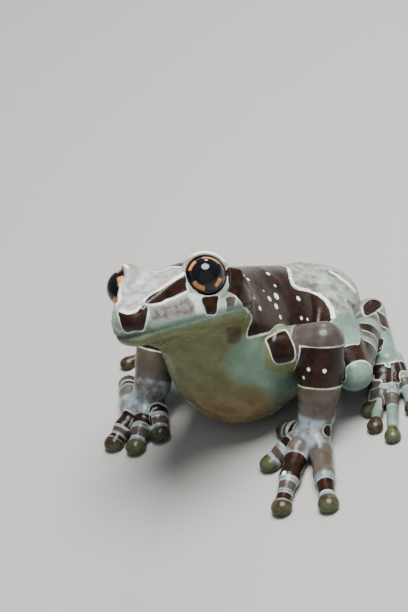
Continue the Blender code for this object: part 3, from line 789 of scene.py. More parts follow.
# %% Head marks
stripe_eye_to_nostril = (
    (11.8, 3.1, -0.8), (10.8, 3.5, -0.4), (9.7, 4.1, -0.1), (8.7, 4.7, 0.1), (7.3, 5.5, 0.5),
    (5.9, 6.2, 0.9), (4.8, 6.8, 1.2), (4.1, 7.4, 1.3), (4.3, 7.7, 0.6), (4.7, 7.6, -0.6),
    (4.8, 7.7, -1.3), (5.7, 7.1, -1.4), (6.7, 6.6, -1.5), (7.7, 6.2, -1.6), (8.7, 5.7, -1.7),
    (9.7, 5.3, -1.9), (10.7, 4.7, -1.7), (11.7, 4.1, -1.6), (12.2, 3.6, -1.2),
)
patch("brown", (0.51, 0.65, 0.56), stripe_eye_to_nostril, on_head=True)
snout_front = (
    (13.6, -1.7, -1.8), (13.9, -0.5, -1.8), (14.2, 0.7, -2.2), (14, 1.6, -2.2), (13.6, 2.3, -2),
    (13.2, 2.8, -1.7), (12.5, 3.5, -1.4), (12.4, 3.8, -1.7), (13, 4, -2.9), (13.6, 3.7, -4.1),
    (13.6, 3, -5.2), (13.6, 2.4, -5.7), (14.2, 1.2, -5.5), (14.3, -0.4, -5.6), (14.8, -0.7, -5),
    (15.1, -0.7, -3.8), (14.6, -1.1, -2.7),
)
patch("brown", (0.92, 0.29, 0.25), snout_front, on_head=True, mirror=False)
bar_under_eye = (
    (3.3, 9.5, -3.1), (2, 10.1, -3.4), (0.7, 11, -3.9), (1.3, 10.9, -5.1), (2.1, 10.7, -6.6),
    (3.1, 10.3, -6.4), (3.9, 9.9, -6.2), (3.9, 9.8, -4.9), (3.8, 9.5, -3.8),
)
patch("brown", (0.38, 0.91, 0.18), bar_under_eye, on_head=True)
bar_behind = (
    (-1.2, 11.3, -4.7), (-3.2, 11.9, -5), (-2.8, 11.9, -6.1), (-1.9, 11.8, -7.2), (-0.4, 11.5, -6.9),
    (-0.7, 11.4, -5.7),
)
patch("grey", (0.2, 0.98, 0.06), bar_behind, on_head=True)
upper_lip = (
    (12, 4.5, -2.6), (10.9, 5, -2.6), (9.5, 5.8, -2.6), (7.8, 6.9, -2.6), (6.3, 7.6, -2.5),
    (5.3, 8.2, -2.7), (5.3, 8.8, -3.7), (5.7, 8.9, -4.8), (6.8, 8.4, -5.4), (8.4, 7.4, -5),
    (10, 6.4, -4.8), (11.5, 5.3, -4.5), (12.6, 4.6, -4.1), (12.5, 4.4, -3.2),
)
patch("mauve", (0.47, 0.83, 0.31), upper_lip, on_head=True)
brow_line = (
    (11.9, 3, -0.8), (10.4, 3.2, -0.3), (9.2, 3.8, 0.1), (8.3, 4.6, 0.4), (7, 5.3, 0.8),
    (5.6, 6.1, 1.2), (4.7, 6.6, 1.4), (3.9, 7.1, 1.7),
)
line("white", 0.32, brow_line, on_head=True)
# A white stripe of painted highlight along the top of each upper lid, where wet skin catches the light.
lid_highlight = (
    (1, 6.7, 3.9), (0.2, 7.8, 4.3), (-1.1, 9.1, 4.3), (-2.2, 10.4, 3.5), (-2.7, 11.1, 2.6),
    (-2.9, 11.8, 1.8),
)
line("white", 0.3, lid_highlight, on_head=True)
lower_line = (
    (12.1, 4, -1.7), (10.9, 4.7, -2), (9.6, 5.4, -2), (8.6, 5.9, -1.8), (7.6, 6.5, -1.9),
    (6.4, 7, -1.7), (5, 7.7, -1.4),
)
line("white", 0.2, lower_line, on_head=True)
rear_line = ((-4.8, 9.4, 1.5), (-3.8, 6, 1.8), (-2.6, 3, 1.8), (-3.3, 0, 2))
line("white", 0.3, rear_line, on_head=True)
notch_line = (
    (13.5, -1.3, -1.6), (13.9, -0.4, -1.8), (14.2, 0.7, -2.1), (14, 1.6, -2.1), (13.6, 2.2, -2),
    (13.1, 2.8, -1.6),
)
line("white", 0.32, notch_line, on_head=True, mirror=False)
pale_before_bar = (
    (5.1, 7.9, -1.9), (4.4, 8.6, -2.2), (3.5, 9.5, -3.3), (4, 9.6, -4.3), (4.4, 9.7, -5.8),
    (5.6, 9, -5.6), (5.2, 8.9, -3.9), (5.3, 8.2, -2.7),
)
patch("pale", (0.46, 0.84, 0.28), pale_before_bar, on_head=True)
pale_behind_bar = (
    (0.6, 11.1, -3.9), (-0.3, 11.6, -3.6), (-1.4, 12.2, -2.7), (-2.9, 11.4, -3.7), (-1.9, 11.4, -4.6),
    (-0.7, 11.4, -5.7), (-0.2, 11.4, -6.9), (1.8, 10.8, -6.6),
)
patch("pale", (0.27, 0.96, 0), pale_behind_bar, on_head=True)
half_crown = (
    (14.3, 0, -1.5), (13.6, 1.8, -1.5), (12.2, 3.1, -0.8), (10.4, 3.5, -0.2), (8.4, 4.8, 0.3),
    (6, 6.2, 1), (4.3, 7.4, 1.3), (3.6, 9.4, 1.5), (0.5, 11.6, 1.5), (-2.6, 11.4, 1.5),
    (-4.6, 9.6, 1.5), (-3.6, 6, 1.8), (-2.4, 3, 1.8), (-3.2, 0, 2),
)
crown = both_halves(half_crown, (1, -1, 1))
patch("cloud", (0, 0, 1), crown, on_head=True, mirror=False, depth=7)
behind_eye = (
    (-4.9, 9.5, 2.6), (-4.6, 11.8, 1), (-4.8, 12.4, -1.6), (-5.2, 12.4, -4.2), (-8.5, 11.5, -3.5),
    (-10, 9.5, -1), (-9, 7.5, 1.5), (-6.5, 7.8, 2.6),
)
patch("brown", (-0.7, 0.7, 0.1), behind_eye, on_head=True)
print("head marked")

# %% [markdown]
# ## Marks of the back
# A dark collar covers the back from the nape to past the middle, and reaches down the flanks. A thick
# milky line parts it from a pale grey saddle over the hips. Small white spots sit on the dark skin.

# %% Back and flank marks
half_collar = (
    (0, -11.3, 30), (7, -10.8, 30), (9.5, -6, 30), (8.5, 2, 26), (7, 7, 24),
    (5.4, 10.6, 21), (3, 13.2, 20), (1.6, 14.3, 19), (0, 14.7, 19),
)
collar = both_halves(half_collar, (-1, 1, 1))
patch("brown", (0, 0, 1), collar, mirror=False, depth=20)
flank = (
    (1.1, 5.8, 26.5), (2.3, 6.4, 25.9), (1.7, 9.5, 23.8), (0.5, 13.3, 21.3), (1.3, 14.4, 20.4),
    (3.7, 12.1, 21.2), (5.5, 10.1, 21.5), (6.7, 9.1, 21), (7.4, 9.7, 19.8), (7.6, 12.2, 17.5),
    (9, 13, 16.2), (11.1, 12.4, 15.4), (13, 10.9, 15.1), (14.3, 9, 14.7), (20.5, -0.3, 22.1),
    (18.5, -0.6, 21.9), (15.3, -0.9, 21.3), (13.1, -1.7, 21), (12.2, -3.8, 21.6), (12, -6.8, 22.9),
    (11.8, -8.6, 23.7), (11.5, -10.2, 24.7), (11.6, -9.6, 26), (11.7, -8.3, 26.8), (11.7, -7.9, 27.9),
    (13.1, -9.7, 31), (13.3, -10.7, 32.9), (12.8, -11.1, 34.9), (12.1, -11.8, 36.1), (12.6, -12, 38.1),
    (12, -11.1, 39.1), (11.5, -10.2, 40.1),
)
patch("brown", (0.64, 0.2, 0.74), flank, depth=16)
saddle_line = (
    (-1.6, 14.4, 20), (0, 14.8, 19.8), (1.6, 14.4, 20), (3, 13.2, 20.8), (5.3, 10.7, 21.2),
    (6.5, 9.8, 20.8), (7.2, 10.5, 19.5), (7.4, 12.6, 17.6), (8.7, 13.5, 16.3), (10.7, 13, 15.5),
    (12.7, 11.7, 15.1), (14.2, 9.8, 14.8),
)
line("white", 0.42, saddle_line)
saddle = (
    (-1.6, 14.4, 20), (0, 14.8, 19.8), (1.6, 14.4, 20), (3, 13.2, 20.8), (5.3, 10.6, 21.3),
    (6.5, 9.9, 20.7), (7.4, 12.6, 17.6), (8.7, 13.5, 16.3), (10.8, 13.1, 15.5), (13.3, 11.2, 15),
    (15.2, 11.7, 14.1), (13, 17.5, 11), (12, 21.5, 8), (9, 25, 8.5), (4, 27, 8.5), (-1.5, 27, 9.5),
)
patch("saddle", (0.36, 0.36, 0.86), saddle, depth=12)
rump_spot = ((11.6, 17.2, 12.8), (11.2, 19, 11), (11.2, 19.6, 9), (12.6, 17, 10.5), (12.8, 15.6, 12.4))
patch("grey", (0.76, 0.48, 0.43), rump_spot)
# A white stripe of painted highlight along each side of the rump, where wet skin catches the light.
rump_highlight = ((5, 22, 14.6), (7.7, 21.7, 13.7), (9, 22, 12.3), (9.7, 22.4, 10.8))
line("white", 0.5, rump_highlight)
dots = (
    (5.7, -0.4, 29.4, 0.44), (11, -6.2, 35.7, 0.3), (3.8, 6.8, 25, 0.5), (6.6, 4.9, 24.2, 0.35),
    (8.9, 0.3, 25, 0.55), (8.3, 2.8, 23.6, 0.7), (9.6, 0.7, 23.1, 0.6), (10.7, -4.4, 26.7, 0.45),
    (8.6, 7.9, 19.4, 0.55), (10.6, 0, 21.3, 0.45), (10.9, 4.9, 17.4, 0.4), (11.2, 6.1, 16.4, 0.35),
    (9.9, -4.3, 28.8, 0.25), (7.8, 0.5, 26.5, 0.2),
)
spots("white", dots)
print("back marked")

# %% [markdown]
# ## Marks of the limbs and the underside
# The left arm is seen best, so it has marks of its own: a dark patch at the shoulder, white spots on the
# forearm and a finger, a dark spot at the wrist and a faint one on the hand. The sides of the chest are
# mint green, partly a painted highlight near each armpit, a pale fold runs under the chest, a faint spot
# sits below each corner of the jaw, and a dark one on each heel. Left and right differ in a living frog,
# but only a mark that is seen is worth that care.

# %% Arm, chest and heel marks
upper_arm = (
    (12.3, -6.7, 21.5), (12.8, -4.8, 21.3), (13.8, -3.3, 21.4), (15.4, -4, 21.3), (17, -5.2, 20.4),
    (17.6, -6, 18.9), (17.2, -6.5, 17.7), (15.6, -7.3, 17.2), (14.3, -7.9, 17.2), (13.7, -7.9, 18.5),
    (13.1, -7.4, 19.8), (12.6, -7, 20.7),
)
patch("brown", (0.48, -0.64, 0.6), upper_arm, mirror=False, on_limb=True)
jaw_spot = (
    (12.1, -15, 30.4), (12, -11.8, 28.2), (11.3, -11.4, 26), (10.9, -12.1, 24.6), (10.1, -14, 25.4),
    (10.6, -14.4, 27.6),
)
patch("faint", (0.89, -0.36, -0.29), jaw_spot)
fore_dots = ((20.4, -6.5, 16.3, 0.38), (23.2, -5.4, 15.8, 0.42), (19.3, -7.2, 14.6, 0.3))
spots("white", fore_dots, mirror=False)
wrist_spot = ((23.4, -9.2, 4.4, 1.1),)
spots("brown", wrist_spot, mirror=False)
hand_back = (
    (16.8, -13.4, 4.1), (18.7, -12.9, 4.9), (21.1, -13.2, 4.9), (21.5, -14.6, 3.4), (20.5, -16.4, 4.1),
    (18.4, -15.3, 3.9),
)
patch("faint", (0.04, -0.34, 0.94), hand_back, mirror=False, on_limb=True)
finger3_dot = ((21.7, -21.4, 3.8, 0.45),)
spots("white", finger3_dot, mirror=False)
belly_fold = (
    (0, -17.3, 12.4), (0.9, -16.9, 10.4), (2.7, -16.3, 8.8), (5, -15.3, 7.9), (8, -13.7, 8.1),
    (10.5, -11.7, 9.2), (12.3, -9.2, 10.6),
)
line("crease", 0.22, belly_fold, mirror=False)
# Mint on the sides of the chest: partly the frog's own colour, partly a painted highlight near the armpit.
chest_mint_and_highlight = (
    (11.3, -10.9, 25.5), (12.1, -7.3, 22.1), (13.7, -8.3, 17.2), (17.1, -6.3, 15.8), (13.1, -3.8, 8.1),
    (11.8, -10.8, 12.5), (8.7, -14.8, 17.8), (9, -15, 22.7),
)
patch("mint", (0.84, -0.53, -0.09), chest_mint_and_highlight)
heel = ((10.7, 22.3, 7.3), (10.8, 24.8, 7.1), (12.5, 25.8, 5.7), (14, 21.8, 7.2), (14.2, 18.6, 8.5))
patch("brown", (0.22, 0.33, 0.92), heel, on_limb=True)
print("arms, chest and heels marked")

# %% [markdown]
# ## Bands of the limbs
# Limbs are ringed. A ring could be an outline too, but it is simpler as a stretch along the bone: the skin
# of each bone is known by its own rounded shape, and a point's place along the bone tells its ring.

# %% Rings along a bone
def ring(kind, bone, stretches, reach=0.5, lean=(0.0, 0.0, 0.0)):
    """Rings on the skin over a bone, each from one distance along it to another."""
    start, end, *radii = bone
    start, end = np.array(start, float), np.array(end, float)
    own = tube([start, end], radii).distance(points)
    way = unit(end - start)
    along = (points - start) @ (way + np.array(lean))
    near = own < 3.0
    outside = (own[near] - reach) * 2.0
    for low, high in stretches:
        inside = np.abs(along[near] - (low + high) / 2) - (high - low) / 2
        keep(kind, near, np.maximum(inside, outside))


def digit_rings(bones, kinds, radius):
    """Rings along a finger or toe, by shares of its length."""
    a, b, c = (np.array(bone, float) for bone in bones)
    own = tube([a, b, c], [radius] * 3).distance(points)
    near = own < 2.5
    q = points[near]
    first, second = np.linalg.norm(b - a), np.linalg.norm(c - b)
    along = np.where(
        tube([a, b], [1, 1]).distance(q) < tube([b, c], [1, 1]).distance(q),
        (q - a) @ unit(b - a),
        first + (q - b) @ unit(c - b),
    )
    share = along / (first + second)
    outside = (own[near] - 0.9) * 1.5
    for kind, low, high in kinds:
        inside = (np.abs(share - (low + high) / 2) - (high - low) / 2) * (first + second)
        keep(kind, near, np.maximum(inside, outside))


print("rings can lie on a bone or on a finger")

# %% Rings of the arms and legs
INNER_FINGER = (("brown", 0.16, 0.42), ("grey", 0.55, 0.80), ("disc", 0.92, 1.5))
LONG_FINGER = (("brown", 0.14, 0.55), ("grey", 0.63, 0.77), ("brown", 0.84, 0.96), ("disc", 0.97, 1.5))
OUTER_FINGER = (("faint", 0.05, 0.55), ("brown", 0.66, 0.86), ("disc", 0.93, 1.5))
FINGER_RINGS = (INNER_FINGER, INNER_FINGER, LONG_FINGER, OUTER_FINGER)
TOE_RINGS = (("brown", 0.18, 0.38), ("grey", 0.52, 0.66), ("disc", 0.92, 1.5))
for side in SIDES.values():
    shoulder, elbow, wrist = (ARMS[side][k] for k in ("shoulder", "elbow", "wrist"))
    upper_bone = (shoulder, elbow, *UPPER_ARM[::2])
    fore_bone = (elbow, wrist, 4.2, 3.7)
    if side == RIGHT:
        ring("brown", upper_bone, [(2.6, 6.5)], 1.0)
    ring("grey", upper_bone, [(7.3, 15.5)], 0.9)
    ring("grey", fore_bone, [(-7.0, 0.3)], 2.0)
    ring("faint", fore_bone, [(8.0, 14.0)], 0.9)
    ring("brown", fore_bone, [(0.3, 7.9)], 0.9, (side * 0.10, 0.0, 0.0))
    for bones, rings in zip(finger_bones(side), FINGER_RINGS):
        digit_rings(bones, rings, FINGER_RADIUS)
    hip, knee, heel, instep = (LEGS[side][k] for k in ("hip", "knee", "heel", "instep"))
    shank_bone = (knee, heel, *SHANK[::2])
    ring("brown", (hip, knee, *THIGH[::2]), [(15.5, 19.2)], 1.0, (0.0, 0.15, 0.1))
    ring("brown", shank_bone, [(4.0, 8.3), (12.6, 15.8)], 0.9, (0.0, 0.1, 0.15))
    ring("faint", shank_bone, [(9.3, 11.6), (17.2, 19.0)], 0.9)
    ring("brown", (heel, instep, *FOOT), [(3.5, 7.0)], 0.9)
    for bones in toe_bones(side):
        digit_rings(bones, TOE_RINGS, TOE_RADIUS)
print("limbs ringed")

# %% [markdown]
# ## Soft regions
# Some colours have no edge: the throat is olive green, the down-facing belly is painted tan as warm bounce
# light, the hands are mottled bluish grey with a pale tone that is partly painted wet highlight, and the
# face above the mouth pale. These are smooth amounts from nought to one instead of distances. The green
# lips
# and the dark rims of the eyes do follow a distance, from the mouth line and from the eyeballs.

# %% Throat, belly and lips
def ease(x, low, high):
    """A smooth step from nought at low to one at high."""
    t = np.clip((x - low) / (high - low), 0.0, 1.0)
    return t * t * (3.0 - 2.0 * t)


head_points = (points - HEAD_PLACE) @ HEAD_AXES.T
hands = np.zeros(len(points))
for pose in ARMS.values():
    fore = tube([pose["wrist"], pose["palm"]], [4.0, 6.0]).distance(points)
    tips = [tube([pose["palm"], (x, y, 2.0)], [2.5, 2.5]).distance(points) for x, y in pose["tips"]]
    hands = np.maximum(hands, ease(-np.minimum.reduce([fore, *tips]), -2.6, 0.5))
under = ease(-normals[:, 2], -0.35, 0.55)
lip_path = np.array(mouth_line)
lips = np.full(len(points), UNMARKED)
near = box_round(lip_path)
lips[near] = tube(lip_path, np.zeros(len(lip_path))).distance(points[near])
rim = np.minimum.reduce([np.linalg.norm(points - eye_centre(side), axis=1) for side in SIDES.values()])
rim = np.minimum(rim - EYE_RADIUS, UNMARKED)
brow = rim + np.maximum(1.6 - head_points[:, 2], 0.0)
along_head = np.clip(head_points[:, 0], FORWARD[0], FORWARD[-1])
above_mouth = head_points[:, 2] - curve(along_head, FORWARD, LIP)
upper_face = ease(above_mouth, 0.4, 1.6) * ease(head_points[:, 0], -6.5, -3.5)
throat = ease(-above_mouth, -0.3, 0.5) * ease(-points[:, 1], -2.0, 6.0) * ease(points[:, 2], 9.0, 15.0)
# Painted warm bounce light: tan laid on the low, down-facing skin of the belly.
belly_bounce_light = ease(-points[:, 2], -18.0, -9.0) * ease(12.5 - np.abs(points[:, 0]), -1.5, 2.5)
belly_bounce_light = belly_bounce_light * ease(under, 0.1, 0.5)
belly_bounce_light *= ease(from_arms(points), 0.5, 2.0) * (1.0 - hands)
amounts = {"throat": throat, "belly_bounce_light": belly_bounce_light, "upper_face": upper_face, "hands": hands}
reaches = {"lips": lips, "rim": rim, "brow": brow}
for name, values in {**edge, **amounts, **reaches}.items():
    write_values(mesh, name, values)
print("skin learned", ", ".join([*edge, *amounts, *reaches]))

# %% [markdown]
# ## Shader effects that can be reused
# Three effects are needed again and again: a ragged edge that turns a distance into a mask, the fine
# pebbles of frog skin, and a tone that drifts in soft clouds. Each could be wired anew in every material,
# but a node group with named inputs is built once and given its own values wherever it is placed.

# %% Helpers that wire nodes
def new_group(name, inputs, outputs):
    """An empty node group with named sockets. An input without a value is a colour."""
    group = bpy.data.node_groups.new(name, "ShaderNodeTree")
    for label, value in inputs.items():
        kind = "NodeSocketColor" if value is None else "NodeSocketFloat"
        made = group.interface.new_socket(name=label, in_out="INPUT", socket_type=kind)
        if value is not None:
            made.default_value = value
    for label, kind in outputs.items():
        group.interface.new_socket(name=label, in_out="OUTPUT", socket_type=kind)
    return group, group.nodes.new("NodeGroupInput").outputs, group.nodes.new("NodeGroupOutput")


def math_node(tree, operation, *values):
    """A Math node whose inputs are numbers or sockets."""
    node = tree.nodes.new("ShaderNodeMath")
    node.operation = operation
    for place, value in zip(node.inputs, values):
        if isinstance(value, (int, float)):
            place.default_value = value
        else:
            tree.links.new(value, place)
    return node.outputs[0]


def texture(tree, kind, scale, **settings):
    """A texture fixed to the object, so that it stays on the skin."""
    where = tree.nodes.new("ShaderNodeTexCoord")
    return feed(tree.nodes.new(kind), {"Vector": where.outputs["Object"], "Scale": scale, **settings})


def soft_step(tree, value, low, high):
    """A smooth step from nought at low to one at high."""
    ramp = tree.nodes.new("ShaderNodeMapRange")
    ramp.interpolation_type = "SMOOTHSTEP"
    return feed(ramp, {"Value": value, "From Min": low, "From Max": high}).outputs["Result"]


def mix_colours(tree, factor, below, above):
    blend = tree.nodes.new("ShaderNodeMix")
    blend.data_type = "RGBA"
    return feed(blend, {"Factor": factor, "A": below, "B": above}).outputs["Result"]


print("helpers for node groups ready")

# %% Group: ragged edge
def ragged_edge():
    """Mask of where a distance is under a limit, with an edge that wanders and has a softness."""
    inputs = {"Distance": 1.0, "Limit": 0.0, "Wander": 0.3, "Wander Scale": 500.0, "Softness": 0.08}
    group, given, result = new_group("ragged_edge", inputs, {"Mask": "NodeSocketFloat"})
    rough = texture(group, "ShaderNodeTexNoise", given["Wander Scale"], Detail=3.0)
    swing = math_node(group, "MULTIPLY", math_node(group, "SUBTRACT", rough.outputs["Fac"], 0.5), 2.0)
    swing = math_node(group, "MULTIPLY", swing, given["Wander"])
    moved = math_node(group, "SUBTRACT", math_node(group, "ADD", given["Distance"], swing), given["Limit"])
    inner = math_node(group, "MULTIPLY", given["Softness"], -1.0)
    feed(result, {"Mask": soft_step(group, moved, given["Softness"], inner)})
    return group


RAGGED = ragged_edge()
print("group", RAGGED.name, "with", len(RAGGED.nodes), "nodes")

# %% Group: pebbled skin
def pebbled_skin():
    """Height of small soft pebbles with finer grain between, and a mask of their tops."""
    outputs = {"Height": "NodeSocketFloat", "Tops": "NodeSocketFloat"}
    group, given, result = new_group("pebbled_skin", {"Pebble Scale": 1600.0, "Grain": 0.35}, outputs)
    cells = texture(group, "ShaderNodeTexVoronoi", given["Pebble Scale"])
    cells.feature = "SMOOTH_F1"
    cells.inputs["Smoothness"].default_value = 0.9
    finer = math_node(group, "MULTIPLY", given["Pebble Scale"], 2.2)
    grain = texture(group, "ShaderNodeTexNoise", finer, Detail=1.5)
    away = math_node(group, "MULTIPLY", cells.outputs["Distance"], cells.outputs["Distance"])
    domes = math_node(group, "SUBTRACT", 1.0, away)
    added = math_node(group, "MULTIPLY", grain.outputs["Fac"], given["Grain"])
    height, tops = math_node(group, "ADD", domes, added), math_node(group, "POWER", domes, 3.0)
    feed(result, {"Height": height, "Tops": tops})
    return group


PEBBLED = pebbled_skin()
print("group", PEBBLED.name, "with", len(PEBBLED.nodes), "nodes")

# %% Group: mottled tone
def mottled_tone():
    """A colour that drifts between two tones in soft clouds."""
    inputs = {"Tone": None, "Other Tone": None, "Cloud Scale": 400.0, "Balance": 0.5}
    group, given, result = new_group("mottled_tone", inputs, {"Color": "NodeSocketColor"})
    clouds = texture(group, "ShaderNodeTexNoise", given["Cloud Scale"], Detail=5.0, Roughness=0.62)
    low = math_node(group, "SUBTRACT", given["Balance"], 0.14)
    high = math_node(group, "ADD", given["Balance"], 0.14)
    share = soft_step(group, clouds.outputs["Fac"], low, high)
    feed(result, {"Color": mix_colours(group, share, given["Tone"], given["Other Tone"])})
    return group


MOTTLED = mottled_tone()
print("group", MOTTLED.name, "with", len(MOTTLED.nodes), "nodes")

# %% [markdown]
# ## The skin's finish
# Frog skin is thin, moist and pebbled. The colours are laid one over another like coats of paint: soft
# ground colours first, then grey and brown marks, then the milky lines and spots on top. Each coat is shown
# only where its mask is white. Wetness comes mostly from the smooth tops of the pebbles, helped by a thin
# clear coat.

# %% Helpers that lay one colour over another
def tone(code):
    """A colour written as six hex digits, as the light the renderer counts in."""
    shares = [int(code[i : i + 2], 16) / 255.0 for i in (0, 2, 4)]
    return (*[c / 12.92 if c < 0.04045 else ((c + 0.055) / 1.055) ** 2.4 for c in shares], 1.0)


def place_group(tree, group, sources):
    node = tree.nodes.new("ShaderNodeGroup")
    node.node_tree = group
    return feed(node, sources)


class Coats:
    """Colours laid one over another in a material, each a pair of tones with the scale of their clouds."""

    def __init__(self, tree, tones):
        self.tree = tree
        self.top = self.mottled(*tones)

    def amount(self, name):
        node = self.tree.nodes.new("ShaderNodeAttribute")
        node.attribute_name = name
        return node.outputs["Fac"]

    def mottled(self, code, other, scale, balance=0.5):
        sources = {"Tone": tone(code), "Other Tone": tone(other), "Cloud Scale": scale, "Balance": balance}
        return place_group(self.tree, MOTTLED, sources).outputs["Color"]

    def near(self, name, limit=0.0, wander=0.25, scale=450.0, softness=0.09):
        sources = {"Distance": self.amount(name), "Limit": limit, "Wander": wander}
        node = place_group(self.tree, RAGGED, {**sources, "Wander Scale": scale, "Softness": softness})
        node.label = name
        return node.outputs["Mask"]

    def lay(self, tones, mask, strength=1.0):
        mask = math_node(self.tree, "MULTIPLY", mask, strength)
        self.top = mix_colours(self.tree, mask, self.top, self.mottled(*tones))

    def lay_rows(self, rows):
        """Lays coats in turn. A row without numbers for its edge is a soft amount."""
        for name, tones, border, strength in rows:
            self.lay(tones, self.near(name, *border) if border else self.amount(name), strength)


print("the milky line is", [round(c, 2) for c in tone("f6f6f0")[:3]])

# %% Skin material
GROUND = ("62786c", "7c9389", 260.0)
SOFT_COATS = (
    ("throat", ("5e5f36", "70734b", 240.0), (), 0.95),
    # Painted warm bounce light on the down-facing belly.
    ("belly_bounce_light", ("655029", "7f6a3f", 300.0), (), 0.95),
    # Hands: mottled mauve and bluish grey. The pale bluish tone is partly a painted wet highlight.
    ("hands", ("8c9ca5", "5a4d48", 330.0, 0.53), (), 0.92),
    ("upper_face", ("7f8d80", "9aa79d", 500.0), (), 0.85),
    # Mint on the chest, partly a painted highlight near the armpits.
    ("mint", ("7d998a", "6a8878", 300.0), (0.0, 0.8, 200.0, 1.2), 0.75),
    ("cloud", ("b4bcbb", "8b8080", 240.0), (0.0, 0.5, 300.0, 0.3), 1.0),
    ("cloud", ("cdd3cd", "6a5d5b", 620.0, 0.52), (-0.3, 0.4, 300.0, 0.3), 0.45),
    ("saddle", ("8b9891", "57534a", 190.0), (0.0, 0.5, 300.0, 0.3), 1.0),
    ("saddle", ("ccd4ce", "5f5c54", 520.0), (-0.3, 0.6, 300.0, 0.4), 0.42),
    ("mauve", ("857d7a", "4c3f3b", 1000.0), (0.2, 0.6, 700.0, 0.6), 0.85),
    ("brow", ("7d706c", "968b88", 500.0), (1.15, 0.3, 400.0, 0.3), 0.8),
    ("pale", ("d2dad0", "a9b8ac", 500.0), (0.1, 0.3, 500.0, 0.3), 1.0),
    ("crease", ("9d8a62", "7b6c45", 500.0), (0.05, 0.2, 300.0, 0.25), 0.7),
    ("faint", ("45372a", "54463a", 300.0), (0.0, 0.5, 400.0, 0.45), 0.85),
    ("grey", ("9fada9", "dfe3de", 500.0), (0.18, 0.3, 300.0, 0.15), 0.5),
    ("grey", ("4f443e", "3a302b", 420.0), (0.0, 0.3, 350.0, 0.12), 0.95),
    ("lips", ("687e6f", "576d5f", 600.0), (0.9, 0.5, 450.0, 0.5), 0.7),
)
BORDER = ("e9ebe2", "93a297", 220.0)
CRISP_COATS = (
    ("brown", ("2f1b11", "1a100a", 420.0), (0.0, 0.2), 1.0),
    # The white coat colours the milky lines and spots, and also the painted highlights on the lids and the
    # rump.
    ("white", ("f6f6f0", "e6e8e0", 700.0), (0.0, 0.16, 600.0), 1.0),
    ("rim", ("191512", "26201c", 500.0), (0.24, 0.05, 700.0, 0.08), 0.9),
    ("disc", ("4d5338", "33271c", 300.0), (0.0, 0.4, 500.0, 0.3), 1.0),
    ("lips", ("20261b", "2c3324", 600.0), (0.28, 0.04, 600.0, 0.1), 0.8),
)
skin, shader = new_material("milk_frog_skin")
tree = skin.node_tree
coats = Coats(tree, GROUND)
coats.lay_rows(SOFT_COATS)
bordered = math_node(tree, "SUBTRACT", 1.0, math_node(tree, "MULTIPLY", coats.amount("hands"), 0.55))
bordered = math_node(tree, "MULTIPLY", bordered, coats.near("brown", 0.25, 0.3, 260.0, 0.12))
coats.lay(BORDER, bordered, 0.95)
coats.lay_rows(CRISP_COATS)
print("coats laid with", len(tree.nodes), "nodes")

# %% Pebbles, grain and wetness
pebbles = place_group(tree, PEBBLED, {"Pebble Scale": 1250.0, "Grain": 0.15})
bump, damp = tree.nodes.new("ShaderNodeBump"), tree.nodes.new("ShaderNodeMapRange")
feed(bump, {"Height": pebbles.outputs["Height"], "Strength": 0.2, "Distance": 0.00016})
feed(damp, {"Value": pebbles.outputs["Tops"], "To Min": 0.32, "To Max": 0.20})
feed(shader, {"Base Color": coats.top, "Roughness": damp.outputs["Result"]})
feed(shader, {"Normal": bump.outputs["Normal"]})
feed(shader, {"Coat Weight": 0.06, "Coat Roughness": 0.1, "Specular IOR Level": 0.36, "IOR": 1.38})
mesh.materials.append(skin)
print("skin is pebbled and moist")

# %% [markdown]
# ## Eyes
# The eye is a dark glossy ball with a wide black pupil and four orange patches round it, parted by a black
# cross. The iris could be a disc behind a clear shell, but at this size the shell only adds gloss, so one
# fine ball carries the pattern under a clear coat. Each point of the ball knows its distance from the edge
# of the nearest orange patch, in shares of the eye's radius.

# %% Pattern of the iris
IRIS_PATCHES = (
    (126.0, 19.0, 0.76, 0.93),
    (52.0, 30.0, 0.83, 0.92),
    (219.0, 27.0, 0.61, 0.82),
    (307.0, 18.0, 0.66, 0.84),
)


def eye_frame(side):
    """Across, upward and outward directions of an eye in the frog's frame."""
    outward = eye_way(GAZE, side)
    across = unit(np.cross((0.0, 0.0, 1.0), outward))
    return np.array([across, np.cross(outward, across), outward])


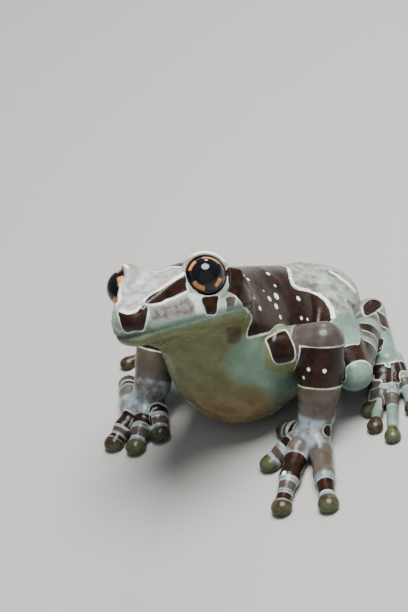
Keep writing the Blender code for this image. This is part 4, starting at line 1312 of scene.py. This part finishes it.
def orange_edge(x, y):
    """Distance from the edge of the nearest orange patch, below zero inside."""
    far, angle = np.hypot(x, y), np.degrees(np.arctan2(y, x))
    nearest = np.full(len(x), 1.0)
    for middle, half, inner, outer in IRIS_PATCHES:
        apart = np.abs((angle - middle + 180.0) % 360.0 - 180.0)
        sideways = np.radians(apart - half) * far
        ringwise = np.maximum(inner - far, far - outer)
        both = np.hypot(np.maximum(sideways, 0.0), np.maximum(ringwise, 0.0))
        nearest = np.minimum(nearest, both + np.minimum(np.maximum(sideways, ringwise), 0.0))
    return nearest


def eyeball(name, side):
    """A fine ball whose poles lie along the gaze."""
    cage = bmesh.new()
    bmesh.ops.create_uvsphere(cage, u_segments=96, v_segments=64, radius=1.0)
    ball = bpy.data.meshes.new(name)
    cage.to_mesh(ball)
    cage.free()
    local = read_rows(ball, "co")
    orange = orange_edge(side * local[:, 0], local[:, 1]) + 2.0 * np.maximum(0.2 - local[:, 2], 0.0)
    write_values(ball, "orange", orange)
    place = (eye_centre(side) + EYE_RADIUS * local @ eye_frame(side) + TO_ORIGIN) * MM
    ball.vertices.foreach_set("co", place.ravel())
    ball.shade_smooth()
    return put_in_scene(name, ball)


eyes = {side: eyeball("eye_ball_" + side, sign) for side, sign in SIDES.items()}
print("eyes of", len(eyes["left"].data.vertices), "points each")

# %% Eye material
IRIS_COATS = (
    ("orange", ("6b3f22", "4d2c18", 5200.0), (0.03, 0.03, 1200.0, 0.02), 0.9),
    ("orange", ("d8935a", "a8703f", 5200.0, 0.52), (-0.01, 0.04, 1600.0, 0.02), 1.0),
)
glossy, shader = new_material("wet_eye")
coats = Coats(glossy.node_tree, ("05060a", "0a0c14", 900.0))
coats.lay_rows(IRIS_COATS)
feed(shader, {"Base Color": coats.top, "Roughness": 0.12, "Specular IOR Level": 0.2})
feed(shader, {"Coat Weight": 0.45, "Coat Roughness": 0.06})
for side, ball in eyes.items():
    ball.data.materials.append(glossy)
    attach(ball, "root")
    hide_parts("eye_" + side)
print("eyes finished")

# %% Hand the skin to the frame
frog.data.transform(Matrix.Scale(MM, 4) @ Matrix.Translation(Vector(TO_ORIGIN)))
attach(frog, "root")
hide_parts(*FLESH_NODES)
